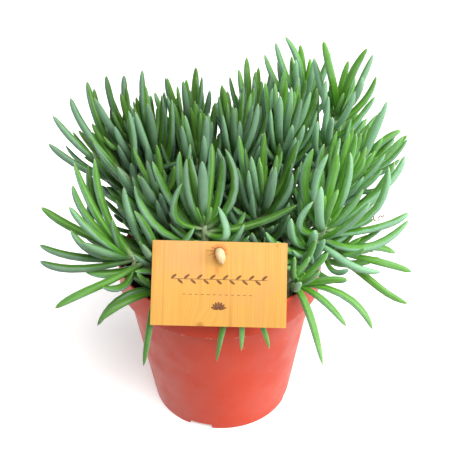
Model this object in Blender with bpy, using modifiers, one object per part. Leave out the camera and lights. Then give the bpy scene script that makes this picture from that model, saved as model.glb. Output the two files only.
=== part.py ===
"""Potted senecio: finger-leaved blue-green stems in a plastic nursery pot, with a wooden card.

The file works in metres with +Z up. The origin is the centre of the pot's foot, on the surface
that the pot stands on, and the card faces -Y. Sizes are written in millimetres times MM. The
plant's skeleton (stem lines and leaf curves) is worked out in plain millimetres and scaled by
MM where it becomes a mesh.
"""
import math
from typing import NamedTuple

import bmesh
import bpy
import numpy as np
from mathutils import Matrix, Vector, noise

MM = 0.001
MERGE = 0.00002
FUSED_MERGE = 0.000002
TOUCH_GAP = 0.3 * MM

# Pot: a moulded 14 cm nursery pot
POT_HEIGHT = 120.6 * MM
RIM_OUTER = 69.6 * MM
COLLAR_OUTER = 70.0 * MM
COLLAR_HEIGHT = 19.3 * MM
BODY_TOP_OUTER = 65.3 * MM
FOOT_OUTER = 50.8 * MM
FOOT_ROUND = 1.2 * MM
WALL = 1.4 * MM
FLOOR = 1.6 * MM
LIP_ROUND = 0.3 * MM
TURN_STEPS = 32
CHANNEL_COUNT = 4
CHANNEL_TURN = math.radians(-108.0)
CHANNEL_WIDTH = 17.0 * MM
CHANNEL_RISE = 4.3 * MM
CHANNEL_START = 30.0 * MM
DRAIN_RADIUS = 3.5 * MM
DRAIN_PLACE = 38.0 * MM
DRAIN_SIDES = 12
CUT_PAST = 1.0 * MM

# Soil
SOIL_LEVEL = 110.0 * MM
SOIL_MOUND = 1.2 * MM
SOIL_LUMP = 0.9 * MM
SOIL_LUMP_SPAN = 7.0 * MM
SOIL_FLAT_EDGE = 0.93
SOIL_TOP = SOIL_LEVEL + SOIL_MOUND + SOIL_LUMP
SOIL_FOOT = CHANNEL_RISE + WALL + TOUCH_GAP
SOIL_TOP_RINGS = 3
HOLE_DEPTH = 18.0 * MM
HOLE_GAP = 1.1 * MM
HOLE_SIDES = 6

# Wooden card
CARD_WIDTH = 81.5 * MM
CARD_HEIGHT = 51.0 * MM
CARD_THICKNESS = 1.3 * MM
CARD_LEAN = math.radians(37.0)
CARD_ROLL = math.radians(-2.2)
CARD_CENTRE = Vector((-0.3, -65.0, 141.0)) * MM
CARD_HOLE_ACROSS = -0.5 * MM
CARD_HOLE_UP = 19.5 * MM
CARD_HOLE_RADIUS = 2.8 * MM

# Peg through the card
PEG_RADIUS = 2.2 * MM
PEG_FOOT = Vector((-1.5, -37.5, 94.0)) * MM

# Stems and leaves, in millimetres
SEED = 1889
GOLDEN_ANGLE = 137.508
STEM_FOOT_RADIUS = 3.0
STEM_TIP_RADIUS = 1.9
STEM_POINTS = 6
LEAF_WIDTH = 6.8
YOUNG_WIDTH = 4.9
LEAF_RINGS = (0.0, 0.31, 0.79, 1.0)
BENT_LEAF_RINGS = (0.0, 0.24, 0.53, 0.82, 1.0)
STRONG_BEND = 62.0
UPWARD = 0.45
FOUR_SIDED_SWELL = 1.12
LEAF_CLEARANCE = 0.6
MATE_SHARE = 0.84
LEAF_SAMPLES = 16
ROOT_SAMPLES = 3
LEAF_TRIES = 34
NEAR_REACH = 48.0


class Stray(NamedTuple):
    """A leaf placed by hand: mm below the tip, heading and rise at its root and at its tip, reach."""

    below: float
    heading_root: float
    rise_root: float
    heading_tip: float
    rise_tip: float
    reach: float


class Hung(NamedTuple):
    """A leaf that hangs over the rim: mm below the tip, its elbow point, its tip point, its width."""

    below: float
    elbow: tuple
    point: tuple
    width: float


class Shoot(NamedTuple):
    """One leafy stem: where it leaves the soil, its growing tip, the tip's direction, its leaves."""

    name: str
    root: tuple
    crown: tuple
    axis: tuple
    leaves: int
    reach: float
    turn: float
    spread: tuple = (14, 62)
    curl: float = 0.35
    leafy: float = 42
    strays: tuple = ()


SHOOTS = (
    Shoot("front_centre", (-8, -33), (-9, -36, 166), (0.0, -0.15, 1), 0, 46, 20, (14, 55), 0.4, 22, (
        Stray(4, 190, 10, 10, 60, 44),
        Stray(6, 150, 40, 30, 80, 52),
        Stray(3, 215, 55, 80, 60, 46),
        Stray(2, -120, 70, 85, 70, 45),
        Stray(2, 60, 70, 90, 70, 51),
        Stray(5, 0, 30, 135, 50, 52),
        Stray(8, -35, -5, 130, 40, 47),
        Stray(6, 10, -10, 10, 30, 60),
        Stray(16, 190, 5, 125, 70, 58),
        Stray(12, 150, 25, 130, 65, 58),
        Stray(2, 75, 72, 70, 80, 38),
        Stray(5, 115, 65, 100, 78, 46),
        Stray(9, 50, 45, 80, 75, 50),
    )),
    Shoot("front_right", (44, -30), (67, -30, 160), (0.25, -0.1, 1), 7, 48, 60, (14, 60), 0.4, 24, (
        Hung(9, (106, -34, 156), (118, -30, 168), 6.6),
        Hung(8, (108, -20, 174), (115, -14, 200), 6.8),
        Stray(7, 200, 5, 15, 50, 42),
        Stray(4, -110, 35, 75, 80, 42),
        Stray(2, 170, 60, 0, 65, 50),
        Stray(1, 80, 70, -30, 80, 49),
        Stray(3, 30, 55, 15, 90, 52),
        Stray(5, 60, 30, -50, 80, 64),
        Stray(5, 10, 15, 150, 90, 60),
        Stray(7, 20, 5, 25, 70, 64),
        Stray(6, 140, 40, -20, 70, 55),
        Stray(10, -20, -20, 25, 50, 57),
        Stray(14, -30, -10, 10, -5, 46),
        Stray(22, 195, -15, 170, 55, 18),
    )),
    Shoot("front_left", (-22, -32), (-60, -45, 148), (-1, -0.2, 0.35), 6, 46, 0, (18, 60), 0.4, 30, (
        Hung(7, (-91, -50, 147), (-109, -48, 160), 6.4),
        Hung(9, (-89, -62, 145), (-107, -60, 156), 6.4),
        Hung(16, (-77, -66, 140), (-100, -68, 126), 6.4),
        Hung(5, (-91, -44, 170), (-105, -46, 185), 6.2),
        Hung(6, (-83, -46, 173), (-85, -44, 199), 6.4),
        Hung(4, (-79, -36, 174), (-86, -28, 205), 6.4),
        Hung(5, (-80, -54, 169), (-89, -54, 190), 6.2),
        Hung(8, (-75, -30, 169), (-74, -22, 204), 6.6),
        Hung(3, (-68, -30, 163), (-65, -20, 196), 6.4),
        Hung(20, (-51, -34, 168), (-52, -28, 191), 6.4),
        Stray(4, 200, 50, -160, 65, 32),
        Stray(6, 180, 25, 85, 85, 44),
        Stray(4, 210, -20, 160, 80, 43),
        Stray(8, 230, -50, 215, 40, 35),
    )),
    Shoot("right_low", (54, -22), (80, -30, 140), (0.8, -0.2, 0.5), 7, 44, 0, (20, 65), 0.5, 24, (
        Hung(5, (106, -36, 135), (123, -38, 128), 6.2),
        Hung(9, (96, -44, 130), (121, -44, 113), 6.2),
        Stray(5, 10, 15, 30, -40, 46),
        Stray(8, 20, 10, 40, -40, 35),
    )),
    Shoot("rim_right", (44, -40), (48, -46, 128), (0.3, -0.5, 1), 7, 40, 0, (25, 75), 0.6, 12, (
        Hung(6, (52, -56, 134), (63, -82, 89), 6.6),
        Hung(5, (60, -56, 127), (74, -74, 113), 6.4),
        Hung(4, (83, -62, 136), (95, -68, 106), 6.8),
        Stray(3, -30, 20, -10, 15, 35),
    )),
    Shoot("rim_front", (8, -46), (10, -55, 127), (0.1, -0.5, 1), 4, 32, 0, (25, 75), 0.6, 12, (
        Hung(4, (4, -75, 140), (-1, -80, 94), 5.0),
        Hung(5, (14, -74, 138), (13, -79, 99), 5.4),
        Hung(3, (20, -70, 138), (30, -78, 99), 5.4),
    )),
    Shoot("rim_left", (-36, -42), (-40, -50, 127), (-0.1, -0.5, 1), 6, 36, 0, (25, 75), 0.6, 12, (
        Hung(4, (-40, -74, 134), (-48, -83, 92), 6.0),
        Hung(6, (-57, -70, 137), (-73, -78, 124), 6.6),
        Stray(4, -165, 20, -120, -30, 45),
    )),
    Shoot("centre_right", (26, -10), (28, -12, 170), (0.1, -0.05, 1), 15, 51, 0, leafy=34),
    Shoot("centre_left", (-30, -10), (-36, -14, 174), (-0.2, 0, 1), 15, 51, 80, leafy=34),
    Shoot("right", (50, 0), (80, -4, 172), (0.5, 0, 1), 15, 51, 40, leafy=34),
    Shoot("right_outer", (53, 12), (92, 14, 176), (0.7, 0.1, 0.9), 12, 51, 10, leafy=34, strays=(
        Hung(4, (103, 14, 196), (119, 16, 202), 6.6),
        Hung(6, (99, 6, 193), (106, 10, 222), 6.6),
    )),
    Shoot("left_upper", (-38, 6), (-58, 12, 199), (-0.3, 0, 1), 13, 51, 20, strays=(
        Hung(3, (-69, 14, 221), (-69, 20, 241), 6.6),
        Hung(2, (-60, 20, 221), (-59, 26, 238), 6.8),
    )),
    Shoot("left_inner", (-26, 14), (-44, 12, 194), (-0.2, 0.1, 1), 14, 51, 70, strays=(
        Hung(3, (-49, 20, 220), (-47, 26, 242), 6.8),
    )),
    Shoot("left_outer", (-50, -6), (-66, -2, 188), (-0.7, 0, 0.7), 7, 48, 120, (14, 62), 0.4, 34, (
        Hung(8, (-86, -6, 198), (-101, -2, 224), 6.6),
        Hung(14, (-91, -12, 190), (-104, -10, 209), 6.4),
        Hung(6, (-85, -2, 215), (-90, 4, 233), 6.6),
        Hung(4, (-83, 4, 217), (-85, 10, 239), 6.6),
        Hung(3, (-79, 8, 217), (-79, 14, 240), 6.6),
        Hung(20, (-86, -2, 182), (-96, 2, 202), 4.6),
    )),
    Shoot("middle_left", (-8, 12), (-14, 10, 188), (0, 0, 1), 15, 51, 150),
    Shoot("middle", (14, 10), (10, 14, 195), (0.05, 0, 1), 15, 51, 30),
    Shoot("middle_right", (34, 20), (44, 20, 200), (0.15, 0, 1), 15, 51, 90),
    Shoot("high_right", (48, 22), (78, 24, 212), (0.2, 0, 1), 7, 44, 130, strays=(
        Hung(3, (65, 22, 227), (60, 26, 248), 6.4),
        Hung(2, (73, 16, 238), (65, 18, 262), 6.8),
        Hung(5, (80, 16, 233), (92, 16, 258), 7),
        Hung(7, (92, 26, 225), (99, 30, 249), 6.8),
        Hung(10, (97, 34, 207), (104, 38, 231), 6.4),
        Hung(6, (85, 12, 225), (85, 12, 241), 6.4),
    )),
    Shoot("back_left", (-34, 34), (-46, 40, 182), (-0.2, 0.2, 1), 14, 51, 10),
    Shoot("back_centre_left", (-10, 36), (-22, 44, 194), (0, 0.1, 1), 14, 51, 50),
    Shoot("back_centre_right", (16, 36), (24, 44, 198), (0, 0.1, 1), 14, 51, 100),
    Shoot("back_right", (34, 42), (56, 46, 212), (0, 0.2, 1), 10, 48, 140, strays=(
        Hung(4, (37, 44, 218), (31, 46, 244), 6.4),
        Hung(3, (44, 44, 228), (38, 46, 252), 6.4),
        Hung(3, (62, 46, 232), (43, 44, 256), 6.8),
        Hung(2, (60, 50, 222), (58, 50, 244), 6.4),
    )),
    Shoot("rear_left", (-32, 45), (-62, 70, 158), (-0.6, 0.6, 0.7), 14, 51, 20, (16, 66), 0.5),
    Shoot("rear_centre_left", (-10, 54), (-18, 86, 160), (-0.1, 0.8, 0.7), 14, 51, 60, (16, 66), 0.5),
    Shoot("rear_centre_right", (14, 54), (26, 88, 164), (0.2, 0.8, 0.7), 14, 51, 110, (16, 66), 0.5),
    Shoot("rear_right", (46, 33), (88, 54, 166), (0.7, 0.5, 0.6), 14, 51, 150, (16, 66), 0.5),
    Shoot("side_left", (-51, 14), (-72, 46, 166), (-0.4, 0.5, 0.8), 13, 48, 70, (16, 60), 0.5),
)


def clear_scene():
    """Remove every object of the open scene."""
    for obj in list(bpy.data.objects):
        bpy.data.objects.remove(obj, do_unlink=True)


def new_collection(name):
    """A collection linked to the scene."""
    collection = bpy.data.collections.new(name)
    bpy.context.scene.collection.children.link(collection)
    return collection


def principled(name, color, roughness, metallic=0.0):
    """A Principled BSDF material of one colour, given as linear red, green and blue."""
    material = bpy.data.materials.new(name)
    material.use_nodes = True
    shader = material.node_tree.nodes["Principled BSDF"]
    shader.inputs["Base Color"].default_value = (*color, 1.0)
    shader.inputs["Roughness"].default_value = roughness
    shader.inputs["Metallic"].default_value = metallic
    return material


def add_object(name, mesh, collection, material=None):
    """Link a mesh to a collection as one object."""
    obj = bpy.data.objects.new(name, mesh)
    collection.objects.link(obj)
    if material:
        mesh.materials.clear()
        mesh.materials.append(material)
    return obj


def hide_cutter(obj):
    """Show a cutting shape as a wire only."""
    obj.hide_render = True
    obj.display_type = "WIRE"


def evaluated_mesh(obj, merge=MERGE):
    """A new mesh of an object with its modifiers or its curve's bevel, ends welded."""
    depsgraph = bpy.context.evaluated_depsgraph_get()
    mesh = bpy.data.meshes.new_from_object(obj.evaluated_get(depsgraph))
    bm = bmesh.new()
    bm.from_mesh(mesh)
    bmesh.ops.remove_doubles(bm, verts=bm.verts, dist=merge)
    bmesh.ops.dissolve_degenerate(bm, edges=bm.edges, dist=merge)
    bm.to_mesh(mesh)
    bm.free()
    return mesh


def turned(name, profile, steps, collection, material):
    """Turn a profile of (radius, height) pairs round +Z. It runs down its outer side."""
    mesh = bpy.data.meshes.new(name)
    points = [(radius, 0.0, height) for radius, height in profile]
    mesh.from_pydata(points, [(k, k + 1) for k in range(len(points) - 1)], [])
    obj = add_object(name, mesh, collection, material)
    screw = obj.modifiers.new("Turn", "SCREW")
    screw.axis = "Z"
    screw.steps = steps
    screw.render_steps = steps
    screw.use_merge_vertices = True
    screw.merge_threshold = MERGE
    return obj


def tube(name, points, radii, sides_level, collection):
    """A tapering tube along points, made a mesh with welded ends. All sizes are in metres."""
    curve = bpy.data.curves.new(name, "CURVE")
    curve.dimensions = "3D"
    curve.bevel_depth = 1.0
    curve.bevel_resolution = sides_level
    curve.use_fill_caps = True
    spline = curve.splines.new("POLY")
    spline.points.add(len(points) - 1)
    for point, place, radius in zip(spline.points, points, radii):
        point.co = (*place, 1.0)
        point.radius = radius
    drawn = bpy.data.objects.new(name, curve)
    collection.objects.link(drawn)
    mesh = evaluated_mesh(drawn)
    bpy.data.objects.remove(drawn)
    return add_object(name, mesh, collection)


def boolean(obj, operand, operation, solver="EXACT"):
    """Apply one Boolean with a collection of closed shapes."""
    step = obj.modifiers.new(operation.title(), "BOOLEAN")
    step.operation = operation
    step.operand_type = "COLLECTION"
    step.collection = operand
    step.solver = solver
    bpy.context.view_layer.update()
    fused = evaluated_mesh(obj, FUSED_MERGE)
    obj.modifiers.clear()
    obj.data = fused


def keep_largest_body(mesh):
    """Drop loose scraps, and fill hollows that fusing sealed, by keeping the largest shell."""
    bm = bmesh.new()
    bm.from_mesh(mesh)
    shells = []
    unseen = set(bm.faces)
    while unseen:
        front = [unseen.pop()]
        shell = list(front)
        while front:
            face = front.pop()
            for edge in face.edges:
                for near in edge.link_faces:
                    if near in unseen:
                        unseen.remove(near)
                        front.append(near)
                        shell.append(near)
        shells.append(shell)
    shells.sort(key=len)
    for shell in shells[:-1]:
        bmesh.ops.delete(bm, geom=shell, context="FACES")
    bm.to_mesh(mesh)
    bm.free()


def shade(mesh, sharp_degrees):
    """Smooth shading with hard edges past an angle."""
    mesh.shade_smooth()
    mesh.set_sharp_from_angle(angle=math.radians(sharp_degrees))


def empty_collection(collection):
    """Remove a helper collection with all that it holds."""
    for obj in list(collection.objects):
        bpy.data.objects.remove(obj, do_unlink=True)
    bpy.data.collections.remove(collection)


# Plain geometry, in millimetres

def unit(vector):
    """The vector scaled to length one."""
    vector = np.asarray(vector, float)
    return vector / np.linalg.norm(vector)


def heading_vector(heading, rise):
    """Direction from a plan heading (0 is +X, 90 is +Y) and a rise above level, in degrees."""
    h = math.radians(heading)
    e = math.radians(rise)
    return np.array([math.cos(h) * math.cos(e), math.sin(h) * math.cos(e), math.sin(e)])


def bezier(points, t):
    """Points at t on the Bezier curve of these control points."""
    t = np.asarray(t, float)[:, None]
    level = [np.asarray(p, float) + 0.0 * t for p in points]
    while len(level) > 1:
        level = [(1.0 - t) * a + t * b for a, b in zip(level, level[1:])]
    return level[0]


def stem_line(shoot, count=25):
    """Centre-line of a stem, upright out of the soil and along its axis at the tip."""
    foot = np.array([*shoot.root, SOIL_TOP / MM])
    tip = np.array(shoot.crown, float)
    reach = np.linalg.norm(tip - foot)
    lift = foot + np.array([0.0, 0.0, 0.38 * reach])
    lead = tip - 0.42 * reach * unit(shoot.axis)
    return bezier((foot, lift, lead, tip), np.linspace(0.0, 1.0, count))


def stem_radius(share):
    """Radius of a stem at a share of its way up."""
    return STEM_FOOT_RADIUS + (STEM_TIP_RADIUS - STEM_FOOT_RADIUS) * share


def point_below(line, distance):
    """Point of a stem a distance below its tip, and the direction of growth there."""
    back = line[::-1]
    steps = np.linalg.norm(np.diff(back, axis=0), axis=1)
    along = np.concatenate([[0.0], np.cumsum(steps)])
    distance = min(distance, 0.98 * along[-1])
    k = min(int(np.searchsorted(along, distance, side="right")) - 1, len(steps) - 1)
    share = (distance - along[k]) / steps[k]
    return back[k] + share * (back[k + 1] - back[k]), unit(back[k] - back[k + 1])


def leaf_controls(root, start, end, reach):
    """Control points of a leaf that leaves along start and ends along end."""
    start = unit(start)
    end = unit(end)
    scale = reach / max(np.linalg.norm(0.5 * start + 0.55 * end), 0.75)
    elbow = root + 0.5 * scale * start
    return root, elbow, elbow + 0.55 * scale * end


def leaf_fullness(t):
    """Half thickness of a leaf as a share of its greatest: narrow root, full middle, pointed tip."""
    return np.interp(t, (0.0, 0.12, 0.3, 0.5, 0.74, 0.88, 0.97, 1.0),
                     (0.38, 0.66, 0.93, 1.0, 0.92, 0.70, 0.30, 0.0))


def leaf_stations(controls):
    """Where a leaf's rings stand along it: one more ring where it bends strongly."""
    root, elbow, tip = controls
    cosine = float(np.clip(np.dot(unit(elbow - root), unit(tip - elbow)), -1.0, 1.0))
    return BENT_LEAF_RINGS if math.degrees(math.acos(cosine)) > STRONG_BEND else LEAF_RINGS


def leaf_samples(controls, width):
    """Points and radii along the straight stretches between a leaf's rings."""
    stations = leaf_stations(controls)
    rings = bezier(controls, stations)
    t = np.linspace(0.0, 1.0, LEAF_SAMPLES)
    points = np.stack([np.interp(t, stations, rings[:, axis]) for axis in range(3)], axis=1)
    return points, leaf_fullness(t) * FOUR_SIDED_SWELL * width / 2.0, t


def card_axes():
    """Across the card, up its face, and out of its face."""
    across = np.array([1.0, 0.0, 0.0])
    up = np.array([0.0, math.sin(CARD_LEAN), math.cos(CARD_LEAN)])
    c = math.cos(CARD_ROLL)
    s = math.sin(CARD_ROLL)
    return c * across + s * up, c * up - s * across, np.cross(across, up)


def near_card(points, gaps):
    """True where a leaf comes too near the card."""
    offset = points - np.array(CARD_CENTRE) / MM
    place = np.abs(np.stack([offset @ axis for axis in card_axes()], axis=1))
    half = np.array([CARD_WIDTH, CARD_HEIGHT, CARD_THICKNESS]) / (2.0 * MM)
    return bool(np.any(np.linalg.norm(np.maximum(place - half, 0.0), axis=1) < gaps))


def near_pot(points, gaps):
    """True where a leaf comes too near the pot's wall, its rim, the soil or the ground."""
    rho = np.hypot(points[:, 0], points[:, 1])
    z = points[:, 2]
    rim = POT_HEIGHT / MM
    inner = (RIM_OUTER - WALL) / MM
    under_collar = (POT_HEIGHT - COLLAR_HEIGHT) / MM
    body = (FOOT_OUTER + (BODY_TOP_OUTER - FOOT_OUTER) * z / under_collar) / MM
    outer = np.where(z > under_collar - 2.0, COLLAR_OUTER / MM, body)
    slack = 1.0 / math.cos(math.pi / TURN_STEPS)
    beside = (z < rim + gaps) & (rho > inner / slack - gaps) & (rho < outer + gaps)
    sideways = np.maximum(np.maximum(inner - rho, rho - RIM_OUTER / MM), 0.0)
    over_edge = (z > rim) & (np.hypot(sideways, z - rim) >= gaps)
    in_soil = (rho < inner) & (z < SOIL_TOP / MM + gaps)
    in_soil[:ROOT_SAMPLES] = False
    return bool(np.any((beside & ~over_edge) | in_soil | (z < gaps)))


class Crowd:
    """Spheres along all that has been placed, which keep each new leaf clear."""

    def __init__(self):
        self.points = np.zeros((0, 3))
        self.radii = np.zeros(0)
        self.owner = np.zeros(0, int)
        self.along = np.zeros(0)

    def add(self, points, radii, along, owner):
        """Put one stem or leaf in the crowd."""
        self.points = np.vstack([self.points, points])
        self.radii = np.concatenate([self.radii, radii])
        self.along = np.concatenate([self.along, along])
        self.owner = np.concatenate([self.owner, np.full(len(points), owner)])

    def blocks(self, points, radii, along, owner):
        """True where a leaf comes too near another shoot or, past its root, its own mates."""
        gaps = radii + LEAF_CLEARANCE
        if near_card(points, gaps) or near_pot(points, gaps):
            return True
        near = np.linalg.norm(self.points - points[LEAF_SAMPLES // 2], axis=1) < NEAR_REACH
        apart = np.linalg.norm(points[:, None, :] - self.points[None, near, :], axis=2)
        need = gaps[:, None] + self.radii[None, near]
        other = self.owner[near] != owner
        if np.any(apart[:, other] < need[:, other]):
            return True
        outer_half = along > 0.3
        mate = ~other & (self.along[near] > 0.3)
        close = apart[np.ix_(outer_half, mate)] < MATE_SHARE * need[np.ix_(outer_half, mate)]
        return bool(np.any(close))


class Leaf(NamedTuple):
    """A leaf that has found its place: its shoot, its greatest width and its curve."""

    shoot: int
    width: float
    controls: tuple


def stray_leaf(shoot, line, row, attempt, draw):
    """Curve and width of a leaf placed by hand, nudged a little more at each new attempt."""
    root, _ = point_below(line, row.below)
    nudge = draw.normal(0.0, 0.7 * attempt, 4)
    start = heading_vector(row.heading_root + nudge[0], row.rise_root + nudge[1])
    end = heading_vector(row.heading_tip + nudge[2], row.rise_tip + nudge[3])
    width = LEAF_WIDTH * min(1.0, 0.68 + row.reach / 170.0)
    return leaf_controls(root, start, end, row.reach), width


def hung_leaf(shoot, line, row, attempt, draw):
    """Curve and width of a leaf whose elbow and tip are given, nudged more at each new attempt."""
    root, _ = point_below(line, row.below)
    nudge = draw.normal(0.0, 0.25 * attempt, 3)
    return (root, np.array(row.elbow) + nudge, np.array(row.point) + nudge), row.width


def ruled_leaf(shoot, line, number, attempt, draw):
    """Curve and width of a leaf placed by the spiral rule, nudged more at each new attempt."""
    age = number / max(shoot.leaves - 1, 1)
    root, axis = point_below(line, 1.0 + shoot.leafy * age ** 1.15)
    side = unit(np.cross(axis, (0.0, 1.0, 0.2)))
    turn = math.radians(shoot.turn + GOLDEN_ANGLE * number + draw.normal(0.0, 3.0 + 2.2 * attempt))
    inner, outer = shoot.spread
    spread = np.interp(age, (0.0, 0.25, 1.0), (inner, 0.62 * inner + 0.38 * outer, outer))
    spread = math.radians(max(spread + draw.normal(0.0, 3.0 + 1.2 * attempt), 8.0))
    reach = shoot.reach * np.interp(age, (0.0, 0.3, 0.8, 1.0), (0.66, 1.0, 1.0, 0.86))
    reach *= (1.0 + draw.normal(0.0, 0.05)) * (1.0 - 0.01 * attempt)
    radial = math.cos(turn) * side + math.sin(turn) * np.cross(axis, side)
    start = math.cos(spread) * axis + math.sin(spread) * radial
    spread *= shoot.curl
    end = unit(math.cos(spread) * axis + math.sin(spread) * radial + np.array([0.0, 0.0, UPWARD]))
    width = min(LEAF_WIDTH, YOUNG_WIDTH + 5.0 * age) * min(1.0, 0.72 + reach / 170.0)
    return leaf_controls(root + 0.8 * radial, start, end, reach), width


def place_leaf(crowd, make, shoot, line, item, owner, key):
    """Try a leaf until it is clear of the rest, or give it up."""
    draw = np.random.default_rng([SEED, owner, key])
    for attempt in range(LEAF_TRIES):
        controls, width = make(shoot, line, item, attempt, draw)
        points, radii, along = leaf_samples(controls, width)
        if not crowd.blocks(points, radii, along, owner):
            crowd.add(points, radii, along, owner)
            return Leaf(owner, width, controls)
    return None


def grow(shoots, peg_points):
    """Stem lines and leaves of the whole plant: leaves placed by hand first, then youngest first."""
    crowd = Crowd()
    along_peg = np.zeros(len(peg_points))
    crowd.add(peg_points, along_peg + PEG_RADIUS / MM, along_peg, -1)
    lines = [stem_line(shoot) for shoot in shoots]
    for owner, line in enumerate(lines):
        share = np.linspace(0.0, 1.0, len(line))
        crowd.add(line, stem_radius(share), 0.0 * share, owner)
    leaves = []
    for owner, shoot in enumerate(shoots):
        for key, row in enumerate(shoot.strays):
            make = hung_leaf if isinstance(row, Hung) else stray_leaf
            leaves.append(place_leaf(crowd, make, shoot, lines[owner], row, owner, 500 + key))
    for number in range(max(shoot.leaves for shoot in shoots)):
        for owner, shoot in enumerate(shoots):
            if number < shoot.leaves:
                leaves.append(place_leaf(crowd, ruled_leaf, shoot, lines[owner], number, owner, number))
    return lines, [leaf for leaf in leaves if leaf]


# Pieces

def pot_profile():
    """Half section of the pot, from the floor's centre up the inside and down the outside."""
    under_collar = POT_HEIGHT - COLLAR_HEIGHT
    round_points = []
    for k in range(3):
        turn = math.radians(45.0 * k)
        round_points.append((FOOT_OUTER - FOOT_ROUND * (1.0 - math.cos(turn)),
                             FOOT_ROUND * (1.0 - math.sin(turn))))
    return [
        (0.0, FLOOR),
        (FOOT_OUTER - WALL - FOOT_ROUND, FLOOR),
        (FOOT_OUTER - WALL, FLOOR + FOOT_ROUND),
        (BODY_TOP_OUTER - WALL, under_collar - WALL),
        (COLLAR_OUTER - WALL, under_collar + 1.5 * WALL),
        (RIM_OUTER - WALL, POT_HEIGHT - LIP_ROUND),
        (RIM_OUTER - 0.5 * WALL, POT_HEIGHT),
        (RIM_OUTER, POT_HEIGHT - LIP_ROUND),
        (COLLAR_OUTER, under_collar),
        (BODY_TOP_OUTER, under_collar - WALL),
        *round_points,
        (0.0, 0.0),
    ]


def channel_block(name, width, top, start, end, turn, collection):
    """A block along one drain channel, from below the foot up to a height."""
    bottom = -CUT_PAST
    bm = bmesh.new()
    bmesh.ops.create_cube(bm, size=1.0)
    bmesh.ops.scale(bm, vec=(end - start, width, top - bottom), verts=bm.verts)
    bmesh.ops.translate(bm, vec=((start + end) / 2.0, 0.0, (top + bottom) / 2.0), verts=bm.verts)
    bmesh.ops.rotate(bm, cent=(0, 0, 0), matrix=Matrix.Rotation(turn, 3, "Z"), verts=bm.verts)
    mesh = bpy.data.meshes.new(name)
    bm.to_mesh(mesh)
    bm.free()
    return add_object(name, mesh, collection)


def upright_cylinder(name, radius, sides, low, high, x, y, collection):
    """A closed upright cylinder between two heights."""
    bm = bmesh.new()
    bmesh.ops.create_cone(bm, cap_ends=True, segments=sides, radius1=radius, radius2=radius,
                          depth=high - low)
    bmesh.ops.translate(bm, vec=(x, y, (low + high) / 2.0), verts=bm.verts)
    mesh = bpy.data.meshes.new(name)
    bm.to_mesh(mesh)
    bm.free()
    return add_object(name, mesh, collection)


def build_pot(collection, cutters):
    """The moulded pot, with drain channels raised in its floor and a hole in each."""
    plastic = principled("terracotta_plastic", (0.69, 0.11, 0.06), 0.42)
    pot = turned("pot", pot_profile(), TURN_STEPS, collection, plastic)
    humps = new_collection("channel_humps")
    for k in range(CHANNEL_COUNT):
        turn = CHANNEL_TURN + 2.0 * math.pi * k / CHANNEL_COUNT
        channel_block(f"hump_{k}", CHANNEL_WIDTH + 2.0 * WALL, CHANNEL_RISE + WALL,
                      CHANNEL_START - WALL, FOOT_OUTER - 1.2 * WALL, turn, humps)
        channel = channel_block(f"channel_{k}", CHANNEL_WIDTH, CHANNEL_RISE,
                                CHANNEL_START, FOOT_OUTER + FOOT_ROUND, turn, cutters)
        drain = upright_cylinder(f"drain_{k}", DRAIN_RADIUS, DRAIN_SIDES, -CUT_PAST, 2.0 * SOIL_FOOT,
                                 DRAIN_PLACE * math.cos(turn), DRAIN_PLACE * math.sin(turn), cutters)
        hide_cutter(channel)
        hide_cutter(drain)
    for hump in humps.objects:
        for vertex in hump.data.vertices:
            vertex.co.z = max(vertex.co.z, 0.5 * FLOOR)
    boolean(pot, humps, "UNION")
    empty_collection(humps)
    boolean(pot, cutters, "DIFFERENCE")
    shade(pot.data, 35.0)
    return pot


def soil_surface(x, y):
    """Height of the soil at a place: a low mound with lumps, flat along the pot's wall."""
    inner = RIM_OUTER - WALL
    rho = math.hypot(x, y)
    mound = SOIL_MOUND * (1.0 - (rho / inner) ** 2)
    lump = SOIL_LUMP * noise.noise(Vector((x, y, 0.0)) / SOIL_LUMP_SPAN)
    return SOIL_LEVEL + mound + lump * (1.0 if rho < SOIL_FLAT_EDGE * inner else 0.0)


def build_soil(collection, stem_feet):
    """The soil, which fills the pot up to a little below its rim, with a plain hole for each stem."""
    earth = principled("potting_soil", (0.018, 0.012, 0.009), 0.95)
    under_collar = POT_HEIGHT - COLLAR_HEIGHT
    gap = TOUCH_GAP
    low_radius = FOOT_OUTER - WALL - FOOT_ROUND
    slope = (BODY_TOP_OUTER - FOOT_OUTER) / (under_collar - WALL - FLOOR - FOOT_ROUND)
    edge = COLLAR_OUTER - WALL - 2.4 * gap
    profile = [(0.0, SOIL_LEVEL)]
    for k in range(1, SOIL_TOP_RINGS + 1):
        profile.append((edge * k / SOIL_TOP_RINGS, SOIL_LEVEL))
    profile.append((edge, under_collar + 1.5 * WALL + gap))
    profile.append((BODY_TOP_OUTER - WALL - 1.5 * gap, under_collar - WALL - gap))
    profile.append((low_radius + slope * (SOIL_FOOT - FLOOR), SOIL_FOOT))
    profile.append((0.0, SOIL_FOOT))
    soil = turned("soil", profile, TURN_STEPS, collection, earth)
    mesh = evaluated_mesh(soil)
    soil.modifiers.clear()
    soil.data = mesh
    for vertex in mesh.vertices:
        if vertex.co.z > SOIL_LEVEL - 0.1 * MM:
            vertex.co.z = soil_surface(vertex.co.x, vertex.co.y)
    holes = new_collection("stem_holes")
    for k, (x, y, radius) in enumerate(stem_feet):
        upright_cylinder(f"hole_{k}", radius + HOLE_GAP, HOLE_SIDES, SOIL_LEVEL - HOLE_DEPTH,
                         SOIL_LEVEL + 2.0 * HOLE_DEPTH, x, y, holes)
    boolean(soil, holes, "DIFFERENCE")
    empty_collection(holes)
    shade(soil.data, 50.0)
    return soil


def card_matrix():
    """Place of the card: X across it, Y up its face, Z out of its face."""
    across, up, out = (Vector(axis) for axis in card_axes())
    turn = Matrix((across, up, out)).transposed().to_4x4()
    return Matrix.Translation(CARD_CENTRE) @ turn


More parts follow.
